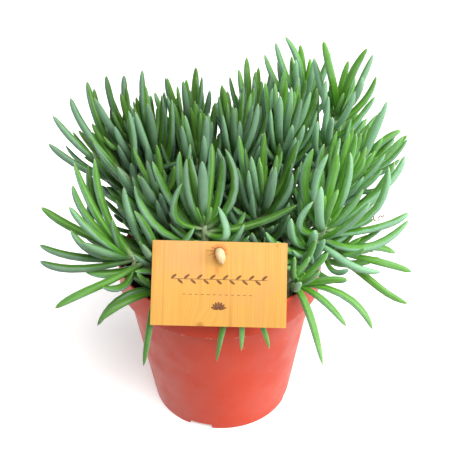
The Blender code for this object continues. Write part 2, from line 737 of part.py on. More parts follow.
def build_card(collection):
    """The thin wooden card with the hole that the peg goes through."""
    veneer = principled("card_wood", (0.90, 0.50, 0.13), 0.5)
    bm = bmesh.new()
    bmesh.ops.create_cube(bm, size=1.0)
    bmesh.ops.scale(bm, vec=(CARD_WIDTH, CARD_HEIGHT, CARD_THICKNESS), verts=bm.verts)
    mesh = bpy.data.meshes.new("label_card")
    bm.to_mesh(mesh)
    bm.free()
    card = add_object("label_card", mesh, collection, veneer)
    hole = new_collection("card_hole")
    upright_cylinder("peg_hole", CARD_HOLE_RADIUS, 12, -5.0 * MM, 5.0 * MM,
                     CARD_HOLE_ACROSS, CARD_HOLE_UP, hole)
    boolean(card, hole, "DIFFERENCE")
    empty_collection(hole)
    card.matrix_world = card_matrix()
    return card


def peg_route():
    """Centre-line and radii of the peg: up out of the soil, through the card, bent over its face."""
    place = card_matrix()
    hole = Vector((CARD_HOLE_ACROSS, CARD_HOLE_UP, 0.0))
    along_card = (
        ((0.0, 0.0, -5.0), 1.0), ((0.0, 0.0, -2.0), 1.0), ((0.0, 0.0, 1.8), 1.0),
        ((0.3, -0.5, 4.2), 1.25), ((0.9, -2.7, 5.2), 1.35), ((1.6, -5.6, 4.8), 1.1),
        ((2.2, -8.0, 3.9), 0.7),
    )
    points = [PEG_FOOT, Vector((PEG_FOOT.x, PEG_FOOT.y, SOIL_LEVEL)), Vector((-1.4, -39.5, 130.0)) * MM,
              Vector((-1.2, -44.5, 143.0)) * MM]
    radii = [PEG_RADIUS] * 4
    for offset, swell in along_card:
        points.append(place @ (hole + Vector(offset) * MM))
        radii.append(PEG_RADIUS * swell)
    return points, radii


def build_peg(collection):
    """The pale wooden peg that holds the card."""
    wood = principled("peg_wood", (0.86, 0.62, 0.38), 0.55)
    points, radii = peg_route()
    peg = tube("label_peg", points, radii, 1, collection)
    peg.data.materials.append(wood)
    shade(peg.data, 40.0)
    return peg


def build_shoot(shoot, line, leaves, collection, skin):
    """One stem with its leaves, fused into one grown piece."""
    heights = np.linspace(0, len(line) - 1, STEM_POINTS).astype(int)
    foot = np.array([*shoot.root, (SOIL_LEVEL - HOLE_DEPTH + 2.0 * TOUCH_GAP) / MM])
    points = [foot, *(line[k] for k in heights)]
    radii = [STEM_FOOT_RADIUS, *(stem_radius(k / (len(line) - 1)) for k in heights)]
    stem = tube(f"shoot_{shoot.name}", [Vector(p) * MM for p in points],
                [FOUR_SIDED_SWELL * r * MM for r in radii], 0, collection)
    blades = new_collection(f"leaves_{shoot.name}")
    for k, leaf in enumerate(leaves):
        stations = leaf_stations(leaf.controls)
        rings = [Vector(p) * MM for p in bezier(leaf.controls, stations)]
        widths = leaf_fullness(stations) * FOUR_SIDED_SWELL * leaf.width / 2.0 * MM
        tube(f"leaf_{k}", rings, widths, 0, blades)
    boolean(stem, blades, "UNION")
    empty_collection(blades)
    keep_largest_body(stem.data)
    stem.data.materials.clear()
    stem.data.materials.append(skin)
    shade(stem.data, 60.0)
    return stem


def main():
    """Build every piece of the potted plant."""
    clear_scene()
    plant = new_collection("potted_senecio")
    cutters = new_collection("cutters")
    build_pot(plant, cutters)
    stem_feet = [(shoot.root[0] * MM, shoot.root[1] * MM, STEM_FOOT_RADIUS * MM) for shoot in SHOOTS]
    stem_feet.append((PEG_FOOT.x, PEG_FOOT.y, PEG_RADIUS))
    build_soil(plant, stem_feet)
    build_card(plant)
    build_peg(plant)
    skin = principled("blue_green_leaf", (0.13, 0.30, 0.20), 0.5)
    route, _ = peg_route()
    peg_points = np.array([np.array(a.lerp(b, k / 4.0)) / MM
                           for a, b in zip(route, route[1:]) for k in range(4)])
    lines, leaves = grow(SHOOTS, peg_points)
    for owner, shoot in enumerate(SHOOTS):
        own = [leaf for leaf in leaves if leaf.shoot == owner]
        build_shoot(shoot, lines[owner], own, plant, skin)


if __name__ == "__main__":
    main()
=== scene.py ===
"""Looks of a potted senecio: finger-leaved stems in a nursery pot, with a wooden card on a peg.

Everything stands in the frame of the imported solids: metres, +Z up, the centre of the pot's foot at
the origin and the card facing -Y. Sizes are written in millimetres times MM. The stems' lines and
the leaves' curves are worked out in plain millimetres, by the same rule as the solids, so that each
fine leaf lies where its solid lies.
"""
from __future__ import annotations

import functools
import logging
import math
from dataclasses import dataclass, field
from enum import Enum
from typing import Callable, NamedTuple, Sequence

import bmesh
import bpy
import numpy as np
from mathutils import Matrix, Vector, noise

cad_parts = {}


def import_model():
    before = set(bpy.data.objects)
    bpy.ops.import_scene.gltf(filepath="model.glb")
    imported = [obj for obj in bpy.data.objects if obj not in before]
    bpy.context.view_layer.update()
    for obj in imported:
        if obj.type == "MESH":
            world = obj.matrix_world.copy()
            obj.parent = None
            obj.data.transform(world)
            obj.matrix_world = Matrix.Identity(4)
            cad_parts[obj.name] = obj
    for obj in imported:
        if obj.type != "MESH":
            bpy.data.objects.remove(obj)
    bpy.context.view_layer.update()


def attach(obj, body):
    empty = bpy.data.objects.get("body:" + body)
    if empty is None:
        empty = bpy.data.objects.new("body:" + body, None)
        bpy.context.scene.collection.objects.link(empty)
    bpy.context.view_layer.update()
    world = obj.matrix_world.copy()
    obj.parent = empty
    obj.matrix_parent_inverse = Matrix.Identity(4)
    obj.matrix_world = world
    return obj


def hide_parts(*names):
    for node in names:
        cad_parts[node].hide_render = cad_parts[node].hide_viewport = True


log = logging.getLogger("potted_senecio")

MM = 0.001
PICTURE_SIDE = 452
SENSOR_WIDTH = 36.0
UP = np.array([0.0, 0.0, 1.0])
BESIDE = (0.0, 1.0, 0.2)

Colour = tuple[float, float, float]
Ring = tuple[float, float]
Samples = tuple[np.ndarray, np.ndarray, np.ndarray]
Socket = bpy.types.NodeSocket
Thing = bpy.types.Object


class Slot(Enum):
    """The pieces' material slots."""

    PLASTIC = "terracotta_plastic"
    SOIL = "potting_soil"
    CARD = "card_wood"
    PEG = "peg_wood"
    LEAF = "blue_green_leaf"


class Element(Enum):
    """What a selection in edit mode is made of."""

    POINTS = "VERT"
    EDGES = "EDGE"
    FACES = "FACE"


class Stray(NamedTuple):
    """A listed leaf: mm below the tip, heading and rise at its root and at its tip, reach."""

    below: float
    heading_root: float
    rise_root: float
    heading_tip: float
    rise_tip: float
    reach: float


class Hung(NamedTuple):
    """A leaf that hangs over the rim: mm below the tip, its elbow point, its tip point, its width."""

    below: float
    elbow: tuple
    point: tuple
    width: float


class Shoot(NamedTuple):
    """One leafy stem: where it leaves the soil, its growing tip, the tip's direction, its leaves."""

    name: str
    root: tuple
    crown: tuple
    axis: tuple
    leaves: int
    reach: float
    turn: float
    spread: tuple = (14, 62)
    curl: float = 0.35
    leafy: float = 42
    strays: tuple = ()


class Leaf(NamedTuple):
    """A leaf that has found its place: its shoot, greatest width, curve and age (0 young, 1 old)."""

    shoot: int
    width: float
    controls: tuple
    age: float


SHOOTS = (
    Shoot("front_centre", (-8, -33), (-9, -36, 166), (0.0, -0.15, 1), 0, 46, 20, (14, 55), 0.4, 22, (
        Stray(4, 190, 10, 10, 60, 44), Stray(6, 150, 40, 30, 80, 52), Stray(3, 215, 55, 80, 60, 46),
        Stray(2, -120, 70, 85, 70, 45), Stray(2, 60, 70, 90, 70, 51), Stray(5, 0, 30, 135, 50, 52),
        Stray(8, -35, -5, 130, 40, 47), Stray(6, 10, -10, 10, 30, 60), Stray(16, 190, 5, 125, 70, 58),
        Stray(12, 150, 25, 130, 65, 58), Stray(2, 75, 72, 70, 80, 38), Stray(5, 115, 65, 100, 78, 46),
        Stray(9, 50, 45, 80, 75, 50),
    )),
    Shoot("front_right", (44, -30), (67, -30, 160), (0.25, -0.1, 1), 7, 48, 60, (14, 60), 0.4, 24, (
        Hung(9, (106, -34, 156), (118, -30, 168), 6.6), Hung(8, (108, -20, 174), (115, -14, 200), 6.8),
        Stray(7, 200, 5, 15, 50, 42), Stray(4, -110, 35, 75, 80, 42), Stray(2, 170, 60, 0, 65, 50),
        Stray(1, 80, 70, -30, 80, 49), Stray(3, 30, 55, 15, 90, 52), Stray(5, 60, 30, -50, 80, 64),
        Stray(5, 10, 15, 150, 90, 60), Stray(7, 20, 5, 25, 70, 64), Stray(6, 140, 40, -20, 70, 55),
        Stray(10, -20, -20, 25, 50, 57), Stray(14, -30, -10, 10, -5, 46),
        Stray(22, 195, -15, 170, 55, 18),
    )),
    Shoot("front_left", (-22, -32), (-60, -45, 148), (-1, -0.2, 0.35), 6, 46, 0, (18, 60), 0.4, 30, (
        Hung(7, (-91, -50, 147), (-109, -48, 160), 6.4),
        Hung(9, (-89, -62, 145), (-107, -60, 156), 6.4),
        Hung(16, (-77, -66, 140), (-100, -68, 126), 6.4),
        Hung(5, (-91, -44, 170), (-105, -46, 185), 6.2), Hung(6, (-83, -46, 173), (-85, -44, 199), 6.4),
        Hung(4, (-79, -36, 174), (-86, -28, 205), 6.4), Hung(5, (-80, -54, 169), (-89, -54, 190), 6.2),
        Hung(8, (-75, -30, 169), (-74, -22, 204), 6.6), Hung(3, (-68, -30, 163), (-65, -20, 196), 6.4),
        Hung(20, (-51, -34, 168), (-52, -28, 191), 6.4), Stray(4, 200, 50, -160, 65, 32),
        Stray(6, 180, 25, 85, 85, 44), Stray(4, 210, -20, 160, 80, 43), Stray(8, 230, -50, 215, 40, 35),
    )),
    Shoot("right_low", (54, -22), (80, -30, 140), (0.8, -0.2, 0.5), 7, 44, 0, (20, 65), 0.5, 24, (
        Hung(5, (106, -36, 135), (123, -38, 128), 6.2), Hung(9, (96, -44, 130), (121, -44, 113), 6.2),
        Stray(5, 10, 15, 30, -40, 46), Stray(8, 20, 10, 40, -40, 35),
    )),
    Shoot("rim_right", (44, -40), (48, -46, 128), (0.3, -0.5, 1), 7, 40, 0, (25, 75), 0.6, 12, (
        Hung(6, (52, -56, 134), (63, -82, 89), 6.6), Hung(5, (60, -56, 127), (74, -74, 113), 6.4),
        Hung(4, (83, -62, 136), (95, -68, 106), 6.8), Stray(3, -30, 20, -10, 15, 35),
    )),
    Shoot("rim_front", (8, -46), (10, -55, 127), (0.1, -0.5, 1), 4, 32, 0, (25, 75), 0.6, 12, (
        Hung(4, (4, -75, 140), (-1, -80, 94), 5.0), Hung(5, (14, -74, 138), (13, -79, 99), 5.4),
        Hung(3, (20, -70, 138), (30, -78, 99), 5.4),
    )),
    Shoot("rim_left", (-36, -42), (-40, -50, 127), (-0.1, -0.5, 1), 6, 36, 0, (25, 75), 0.6, 12, (
        Hung(4, (-40, -74, 134), (-48, -83, 92), 6.0), Hung(6, (-57, -70, 137), (-73, -78, 124), 6.6),
        Stray(4, -165, 20, -120, -30, 45),
    )),
    Shoot("centre_right", (26, -10), (28, -12, 170), (0.1, -0.05, 1), 15, 51, 0, leafy=34),
    Shoot("centre_left", (-30, -10), (-36, -14, 174), (-0.2, 0, 1), 15, 51, 80, leafy=34),
    Shoot("right", (50, 0), (80, -4, 172), (0.5, 0, 1), 15, 51, 40, leafy=34),
    Shoot("right_outer", (53, 12), (92, 14, 176), (0.7, 0.1, 0.9), 12, 51, 10, leafy=34, strays=(
        Hung(4, (103, 14, 196), (119, 16, 202), 6.6), Hung(6, (99, 6, 193), (106, 10, 222), 6.6),
    )),
    Shoot("left_upper", (-38, 6), (-58, 12, 199), (-0.3, 0, 1), 13, 51, 20, strays=(
        Hung(3, (-69, 14, 221), (-69, 20, 241), 6.6), Hung(2, (-60, 20, 221), (-59, 26, 238), 6.8),
    )),
    Shoot("left_inner", (-26, 14), (-44, 12, 194), (-0.2, 0.1, 1), 14, 51, 70, strays=(
        Hung(3, (-49, 20, 220), (-47, 26, 242), 6.8),
    )),
    Shoot("left_outer", (-50, -6), (-66, -2, 188), (-0.7, 0, 0.7), 7, 48, 120, (14, 62), 0.4, 34, (
        Hung(8, (-86, -6, 198), (-101, -2, 224), 6.6), Hung(14, (-91, -12, 190), (-104, -10, 209), 6.4),
        Hung(6, (-85, -2, 215), (-90, 4, 233), 6.6), Hung(4, (-83, 4, 217), (-85, 10, 239), 6.6),
        Hung(3, (-79, 8, 217), (-79, 14, 240), 6.6), Hung(20, (-86, -2, 182), (-96, 2, 202), 4.6),
    )),
    Shoot("middle_left", (-8, 12), (-14, 10, 188), (0, 0, 1), 15, 51, 150),
    Shoot("middle", (14, 10), (10, 14, 195), (0.05, 0, 1), 15, 51, 30),
    Shoot("middle_right", (34, 20), (44, 20, 200), (0.15, 0, 1), 15, 51, 90),
    Shoot("high_right", (48, 22), (78, 24, 212), (0.2, 0, 1), 7, 44, 130, strays=(
        Hung(3, (65, 22, 227), (60, 26, 248), 6.4), Hung(2, (73, 16, 238), (65, 18, 262), 6.8),
        Hung(5, (80, 16, 233), (92, 16, 258), 7), Hung(7, (92, 26, 225), (99, 30, 249), 6.8),
        Hung(10, (97, 34, 207), (104, 38, 231), 6.4), Hung(6, (85, 12, 225), (85, 12, 241), 6.4),
    )),
    Shoot("back_left", (-34, 34), (-46, 40, 182), (-0.2, 0.2, 1), 14, 51, 10),
    Shoot("back_centre_left", (-10, 36), (-22, 44, 194), (0, 0.1, 1), 14, 51, 50),
    Shoot("back_centre_right", (16, 36), (24, 44, 198), (0, 0.1, 1), 14, 51, 100),
    Shoot("back_right", (34, 42), (56, 46, 212), (0, 0.2, 1), 10, 48, 140, strays=(
        Hung(4, (37, 44, 218), (31, 46, 244), 6.4), Hung(3, (44, 44, 228), (38, 46, 252), 6.4),
        Hung(3, (62, 46, 232), (43, 44, 256), 6.8), Hung(2, (60, 50, 222), (58, 50, 244), 6.4),
    )),
    Shoot("rear_left", (-32, 45), (-62, 70, 158), (-0.6, 0.6, 0.7), 14, 51, 20, (16, 66), 0.5),
    Shoot("rear_centre_left", (-10, 54), (-18, 86, 160), (-0.1, 0.8, 0.7), 14, 51, 60, (16, 66), 0.5),
    Shoot("rear_centre_right", (14, 54), (26, 88, 164), (0.2, 0.8, 0.7), 14, 51, 110, (16, 66), 0.5),
    Shoot("rear_right", (46, 33), (88, 54, 166), (0.7, 0.5, 0.6), 14, 51, 150, (16, 66), 0.5),
    Shoot("side_left", (-51, 14), (-72, 46, 166), (-0.4, 0.5, 0.8), 13, 48, 70, (16, 60), 0.5),
)


# Modelling by hand, in code

def clear_selection() -> None:
    """Deselect every object."""
    bpy.ops.object.select_all(action="DESELECT")


def take_up(obj: Thing) -> None:
    """Select one object alone and make it active.

    Args:
        obj: The piece that is worked on.
    """
    clear_selection()
    obj.select_set(True)
    bpy.context.view_layer.objects.active = obj


def named(obj: Thing, name: str) -> Thing:
    """Give an object and its mesh one name.

    Args:
        obj: The piece that is worked on.
        name: Its new name.

    Returns:
        The object.
    """
    obj.name = name
    obj.data.name = name
    return obj


def begin_edit(obj: Thing) -> None:
    """Open one object in edit mode with all of it selected.

    Args:
        obj: The piece that is worked on.
    """
    take_up(obj)
    bpy.ops.object.mode_set(mode="EDIT")
    bpy.ops.mesh.select_all(action="SELECT")


def end_edit() -> None:
    """Leave edit mode with the normals pointing outwards."""
    bpy.ops.mesh.select_all(action="SELECT")
    bpy.ops.mesh.normals_make_consistent(inside=False)
    bpy.ops.object.mode_set(mode="OBJECT")


def pick(obj: Thing, element: Element, wanted: Callable[[Vector], bool]) -> None:
    """Select, in edit mode, only what has its middle in a wanted place.

    Args:
        obj: The object that is open in edit mode.
        element: Whether points, edges or faces are selected.
        wanted: Says of a middle whether it is in the wanted place.
    """
    bpy.ops.mesh.select_mode(type=element.value)
    bpy.ops.mesh.select_all(action="DESELECT")
    shape = bmesh.from_edit_mesh(obj.data)
    if element is Element.POINTS:
        middles = [(point, point.co) for point in shape.verts]
    elif element is Element.EDGES:
        middles = [(edge, (edge.verts[0].co + edge.verts[1].co) / 2.0) for edge in shape.edges]
    else:
        middles = [(face, face.calc_center_median()) for face in shape.faces]
    for part, middle in middles:
        if wanted(middle):
            part.select_set(True)
    shape.select_flush_mode()
    bmesh.update_edit_mesh(obj.data)


def ring_stack(name: str, rings: Sequence[Ring], sides: int, pointed: bool = False) -> Thing:
    """Raise a closed round shape: a disc, extruded and resized from ring to ring.

    Args:
        name: The new object's name.
        rings: Radius and height of each ring, from the disc that starts it to the one that ends it.
        sides: How many sides a ring has.
        pointed: Whether the last ring closes to a point.

    Returns:
        The shape, at the origin.
    """
    radius, height = rings[0]
    clear_selection()
    bpy.ops.mesh.primitive_circle_add(vertices=sides, radius=radius, fill_type="NGON",
                                      enter_editmode=True)
    obj = named(bpy.context.object, name)
    bpy.ops.mesh.select_all(action="SELECT")
    bpy.ops.transform.translate(value=(0.0, 0.0, height))
    for next_radius, next_height in rings[1:]:
        rise = (0.0, 0.0, next_height - height)
        bpy.ops.mesh.extrude_region_move(TRANSFORM_OT_translate={"value": rise})
        share = next_radius / radius
        bpy.ops.transform.resize(value=(share, share, 1.0), center_override=(0.0, 0.0, next_height))
        radius, height = next_radius, next_height
    if pointed:
        bpy.ops.mesh.merge(type="CENTER")
    end_edit()
    return obj


def block(name: str, low: Sequence[float], high: Sequence[float]) -> Thing:
    """A box between two corners, open for more work, with its place in its mesh.

    Args:
        name: The new object's name.
        low: Its lowest corner.
        high: Its highest corner.

    Returns:
        The box, at the origin.
    """
    clear_selection()
    bpy.ops.mesh.primitive_cube_add(size=1.0, enter_editmode=True)
    obj = named(bpy.context.object, name)
    low, high = Vector(low), Vector(high)
    bpy.ops.transform.resize(value=tuple(high - low), center_override=(0.0, 0.0, 0.0))
    bpy.ops.transform.translate(value=tuple((low + high) / 2.0))
    end_edit()
    return obj


def copy_of(obj: Thing) -> Thing:
    """A copy of an object with a mesh of its own.

    Args:
        obj: The object to copy.

    Returns:
        The copy, in the scene.
    """
    twin = obj.copy()
    twin.data = obj.data.copy()
    bpy.context.scene.collection.objects.link(twin)
    return twin


def settle(obj: Thing, place: Matrix) -> None:
    """Put an object in its place and move that place into its mesh.

    Args:
        obj: The piece that is worked on.
        place: Where it belongs.
    """
    obj.matrix_world = place
    take_up(obj)
    bpy.ops.object.transform_apply(location=True, rotation=True, scale=True)


def turned(degrees: float) -> Matrix:
    """A turn about Z."""
    return Matrix.Rotation(math.radians(degrees), 4, "Z")


def join(name: str, parts: Sequence[Thing]) -> Thing:
    """Join objects into one, which takes the name.

    Args:
        name: The joined object's name.
        parts: The objects to join.

    Returns:
        The joined object.
    """
    clear_selection()
    for part in parts:
        part.select_set(True)
    bpy.context.view_layer.objects.active = parts[0]
    bpy.ops.object.join()
    return named(bpy.context.object, name)


def combine(obj: Thing, tool: Thing, operation: str) -> None:
    """Apply one Boolean with a closed shape, and take that shape away.

    Args:
        obj: The piece that is worked on.
        tool: The closed shape.
        operation: What the Boolean does, in Blender's word.
    """
    step = obj.modifiers.new("Combine", "BOOLEAN")
    step.operation = operation
    step.solver = "EXACT"
    step.material_mode = "TRANSFER"
    step.object = tool
    take_up(obj)
    bpy.ops.object.modifier_apply(modifier=step.name)
    bpy.data.objects.remove(tool, do_unlink=True)


def smooth(obj: Thing, sharp_degrees: float = 180.0) -> None:
    """Smooth shading, with hard edges past an angle.

    Args:
        obj: The piece that is worked on.
        sharp_degrees: The angle past which an edge stays hard.
    """
    take_up(obj)
    if sharp_degrees < 180.0:
        bpy.ops.object.shade_smooth_by_angle(angle=math.radians(sharp_degrees))
    else:
        bpy.ops.object.shade_smooth()


def dress(obj: Thing, *materials: bpy.types.Material) -> None:
    """Give an object its materials, the first of them all over.

    Args:
        obj: The piece that is worked on.
        materials: Its materials in order.
    """
    obj.data.materials.clear()
    for material in materials:
        obj.data.materials.append(material)


def read_points(obj: Thing) -> np.ndarray:
    """The mesh's points as rows.

    Args:
        obj: The object to read.

    Returns:
        One row for each point.
    """
    rows = np.empty(3 * len(obj.data.vertices), np.float32)
    obj.data.vertices.foreach_get("co", rows)
    return rows.reshape(-1, 3).astype(float)


def write_points(obj: Thing, points: np.ndarray) -> None:
    """Move the mesh's points."""
    obj.data.vertices.foreach_set("co", points.astype(np.float32).ravel())
    obj.data.update()


def write_marks(obj: Thing, name: str, *columns: np.ndarray | float) -> None:
    """Store four numbers for each point, which a material reads."""
    rows = np.stack(np.broadcast_arrays(*columns), axis=1).astype(np.float32)
    obj.data.attributes.new(name, "FLOAT_COLOR", "POINT").data.foreach_set("color", rows.ravel())


def lay_along(obj: Thing, places: np.ndarray, side: np.ndarray, other: np.ndarray,
              half: np.ndarray | float) -> None:
    """Move a straight round piece, a unit in radius, on to a curve.

    Args:
        obj: The piece, with its length along Z.
        places: Where on the curve each of its points belongs, in millimetres.
        side: The direction there of its X.
        other: The direction there of its Y.
        half: The radius there.
    """
    spread = read_points(obj)[:, :2] * np.reshape(half, (-1, 1))
    write_points(obj, (places + spread[:, :1] * side + spread[:, 1:] * other) * MM)


def hand_over(obj: Thing, slot: Slot, *nodes: str) -> None:
    """Hang a finished piece on the root body and hide the solids that it replaces.

    Args:
        obj: The finished piece.
        slot: Its material slot, which is not used.
        nodes: The solids that it replaces, if any.
    """
    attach(obj, "root")
    if nodes:
        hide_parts(*nodes)
    log.info("%s: %d faces", obj.name, len(obj.data.polygons))


# Plain geometry, in millimetres

def unit(vector: Sequence[float]) -> np.ndarray:
    """The vector scaled to length one."""
    vector = np.asarray(vector, float)
    return vector / np.linalg.norm(vector)


def heading_vector(heading: float, rise: float) -> np.ndarray:
    """Direction from a plan heading (0 is +X, 90 is +Y) and a rise above level, in degrees."""
    h, e = math.radians(heading), math.radians(rise)
    return np.array([math.cos(h) * math.cos(e), math.sin(h) * math.cos(e), math.sin(e)])


def around(axis: np.ndarray, turn: float) -> np.ndarray:
    """The direction square to a stem's axis, at an angle round it in radians."""
    side = unit(np.cross(axis, BESIDE))
    return math.cos(turn) * side + math.sin(turn) * np.cross(axis, side)


def leaning(axis: np.ndarray, radial: np.ndarray, angle: float) -> np.ndarray:
    """The direction that leans from an axis towards a radial direction, by an angle in radians."""
    return math.cos(angle) * axis + math.sin(angle) * radial


def square_to(heads: np.ndarray, hint: Sequence[float]) -> tuple[np.ndarray, np.ndarray]:
    """Two directions square to each heading, the first of them square to the hint too.

    Args:
        heads: Directions in rows.
        hint: A direction that none of them has.

    Returns:
        The two directions, in rows.
    """
    side = np.cross(heads, hint)
    side /= np.linalg.norm(side, axis=1, keepdims=True)
    return side, np.cross(heads, side)


def bezier(points: Sequence[Sequence[float]], t: Sequence[float]) -> np.ndarray:
    """Points at t on the Bezier curve of these control points.

    Args:
        points: The control points.
        t: Where on the curve, from 0 to 1.

    Returns:
        One row for each t.
    """
    t = np.asarray(t, float)[:, None]
    level = [np.asarray(p, float) + 0.0 * t for p in points]
    while len(level) > 1:
        level = [(1.0 - t) * a + t * b for a, b in zip(level, level[1:])]
    return level[0]


def point_below(line: np.ndarray, distance: float) -> tuple[np.ndarray, np.ndarray]:
    """Point of a stem a distance below its tip, and the direction of growth there.

    Args:
        line: The stem's line, from the soil to the tip.
        distance: How far below the tip, in millimetres.

    Returns:
        The point and the direction.
    """
    back = line[::-1]
    steps = np.linalg.norm(np.diff(back, axis=0), axis=1)
    along = np.concatenate([[0.0], np.cumsum(steps)])
    distance = min(distance, 0.98 * along[-1])
    k = min(int(np.searchsorted(along, distance, side="right")) - 1, len(steps) - 1)
    share = (distance - along[k]) / steps[k]
    return back[k] + share * (back[k + 1] - back[k]), unit(back[k] - back[k + 1])


def leaf_controls(root: np.ndarray, start: np.ndarray, end: np.ndarray, reach: float) -> tuple:
    """Control points of a leaf that leaves along start and ends along end.

    Args:
        root: Where the leaf grows.
        start: Its direction there.
        end: Its direction at its tip.
        reach: Its length.

    Returns:
        Three control points.
    """
    start, end = unit(start), unit(end)
    scale = reach / max(np.linalg.norm(0.5 * start + 0.55 * end), 0.75)
    elbow = root + 0.5 * scale * start
    return root, elbow, elbow + 0.55 * scale * end


def arc(centre: Ring, radius: float, start: float, end: float, steps: int) -> list[Ring]:
    """Points of a round edge in a half section, between two angles in degrees."""
    turns = np.radians(np.linspace(start, end, steps + 1))
    return [(centre[0] + radius * math.cos(turn), centre[1] + radius * math.sin(turn))
            for turn in turns]


def along_route(points: np.ndarray, shares: np.ndarray) -> tuple[np.ndarray, np.ndarray]:
    """Places and directions at shares of the length of a smooth curve through points.

    Args:
        points: The rows that the curve passes through; more than three columns may be given.
        shares: Where on the curve, from 0 to 1.

    Returns:
        A row of the curve for each share, and the direction of its first three columns there.
    """
    padded = np.vstack([2.0 * points[0] - points[1], points, 2.0 * points[-1] - points[-2]])
    rows = []
    for k in range(len(points) - 1):
        a, b, c, d = padded[k:k + 4]
        for t in np.linspace(0.0, 1.0, 12, endpoint=False):
            rows.append(0.5 * (2.0 * b + (c - a) * t + (2.0 * a - 5.0 * b + 4.0 * c - d) * t * t
                               + (3.0 * b - a - 3.0 * c + d) * t ** 3))
    rows = np.array([*rows, points[-1]])
    steps = np.linalg.norm(np.diff(rows[:, :3], axis=0), axis=1)
    length = np.concatenate([[0.0], np.cumsum(steps)])
    slope = np.gradient(rows[:, :3], length, axis=0)
    wanted = np.asarray(shares) * length[-1]
    places, heads = (np.stack([np.interp(wanted, length, column) for column in table.T], axis=1)
                     for table in (rows, slope))
    return places, heads / np.linalg.norm(heads, axis=1, keepdims=True)


# Finishes

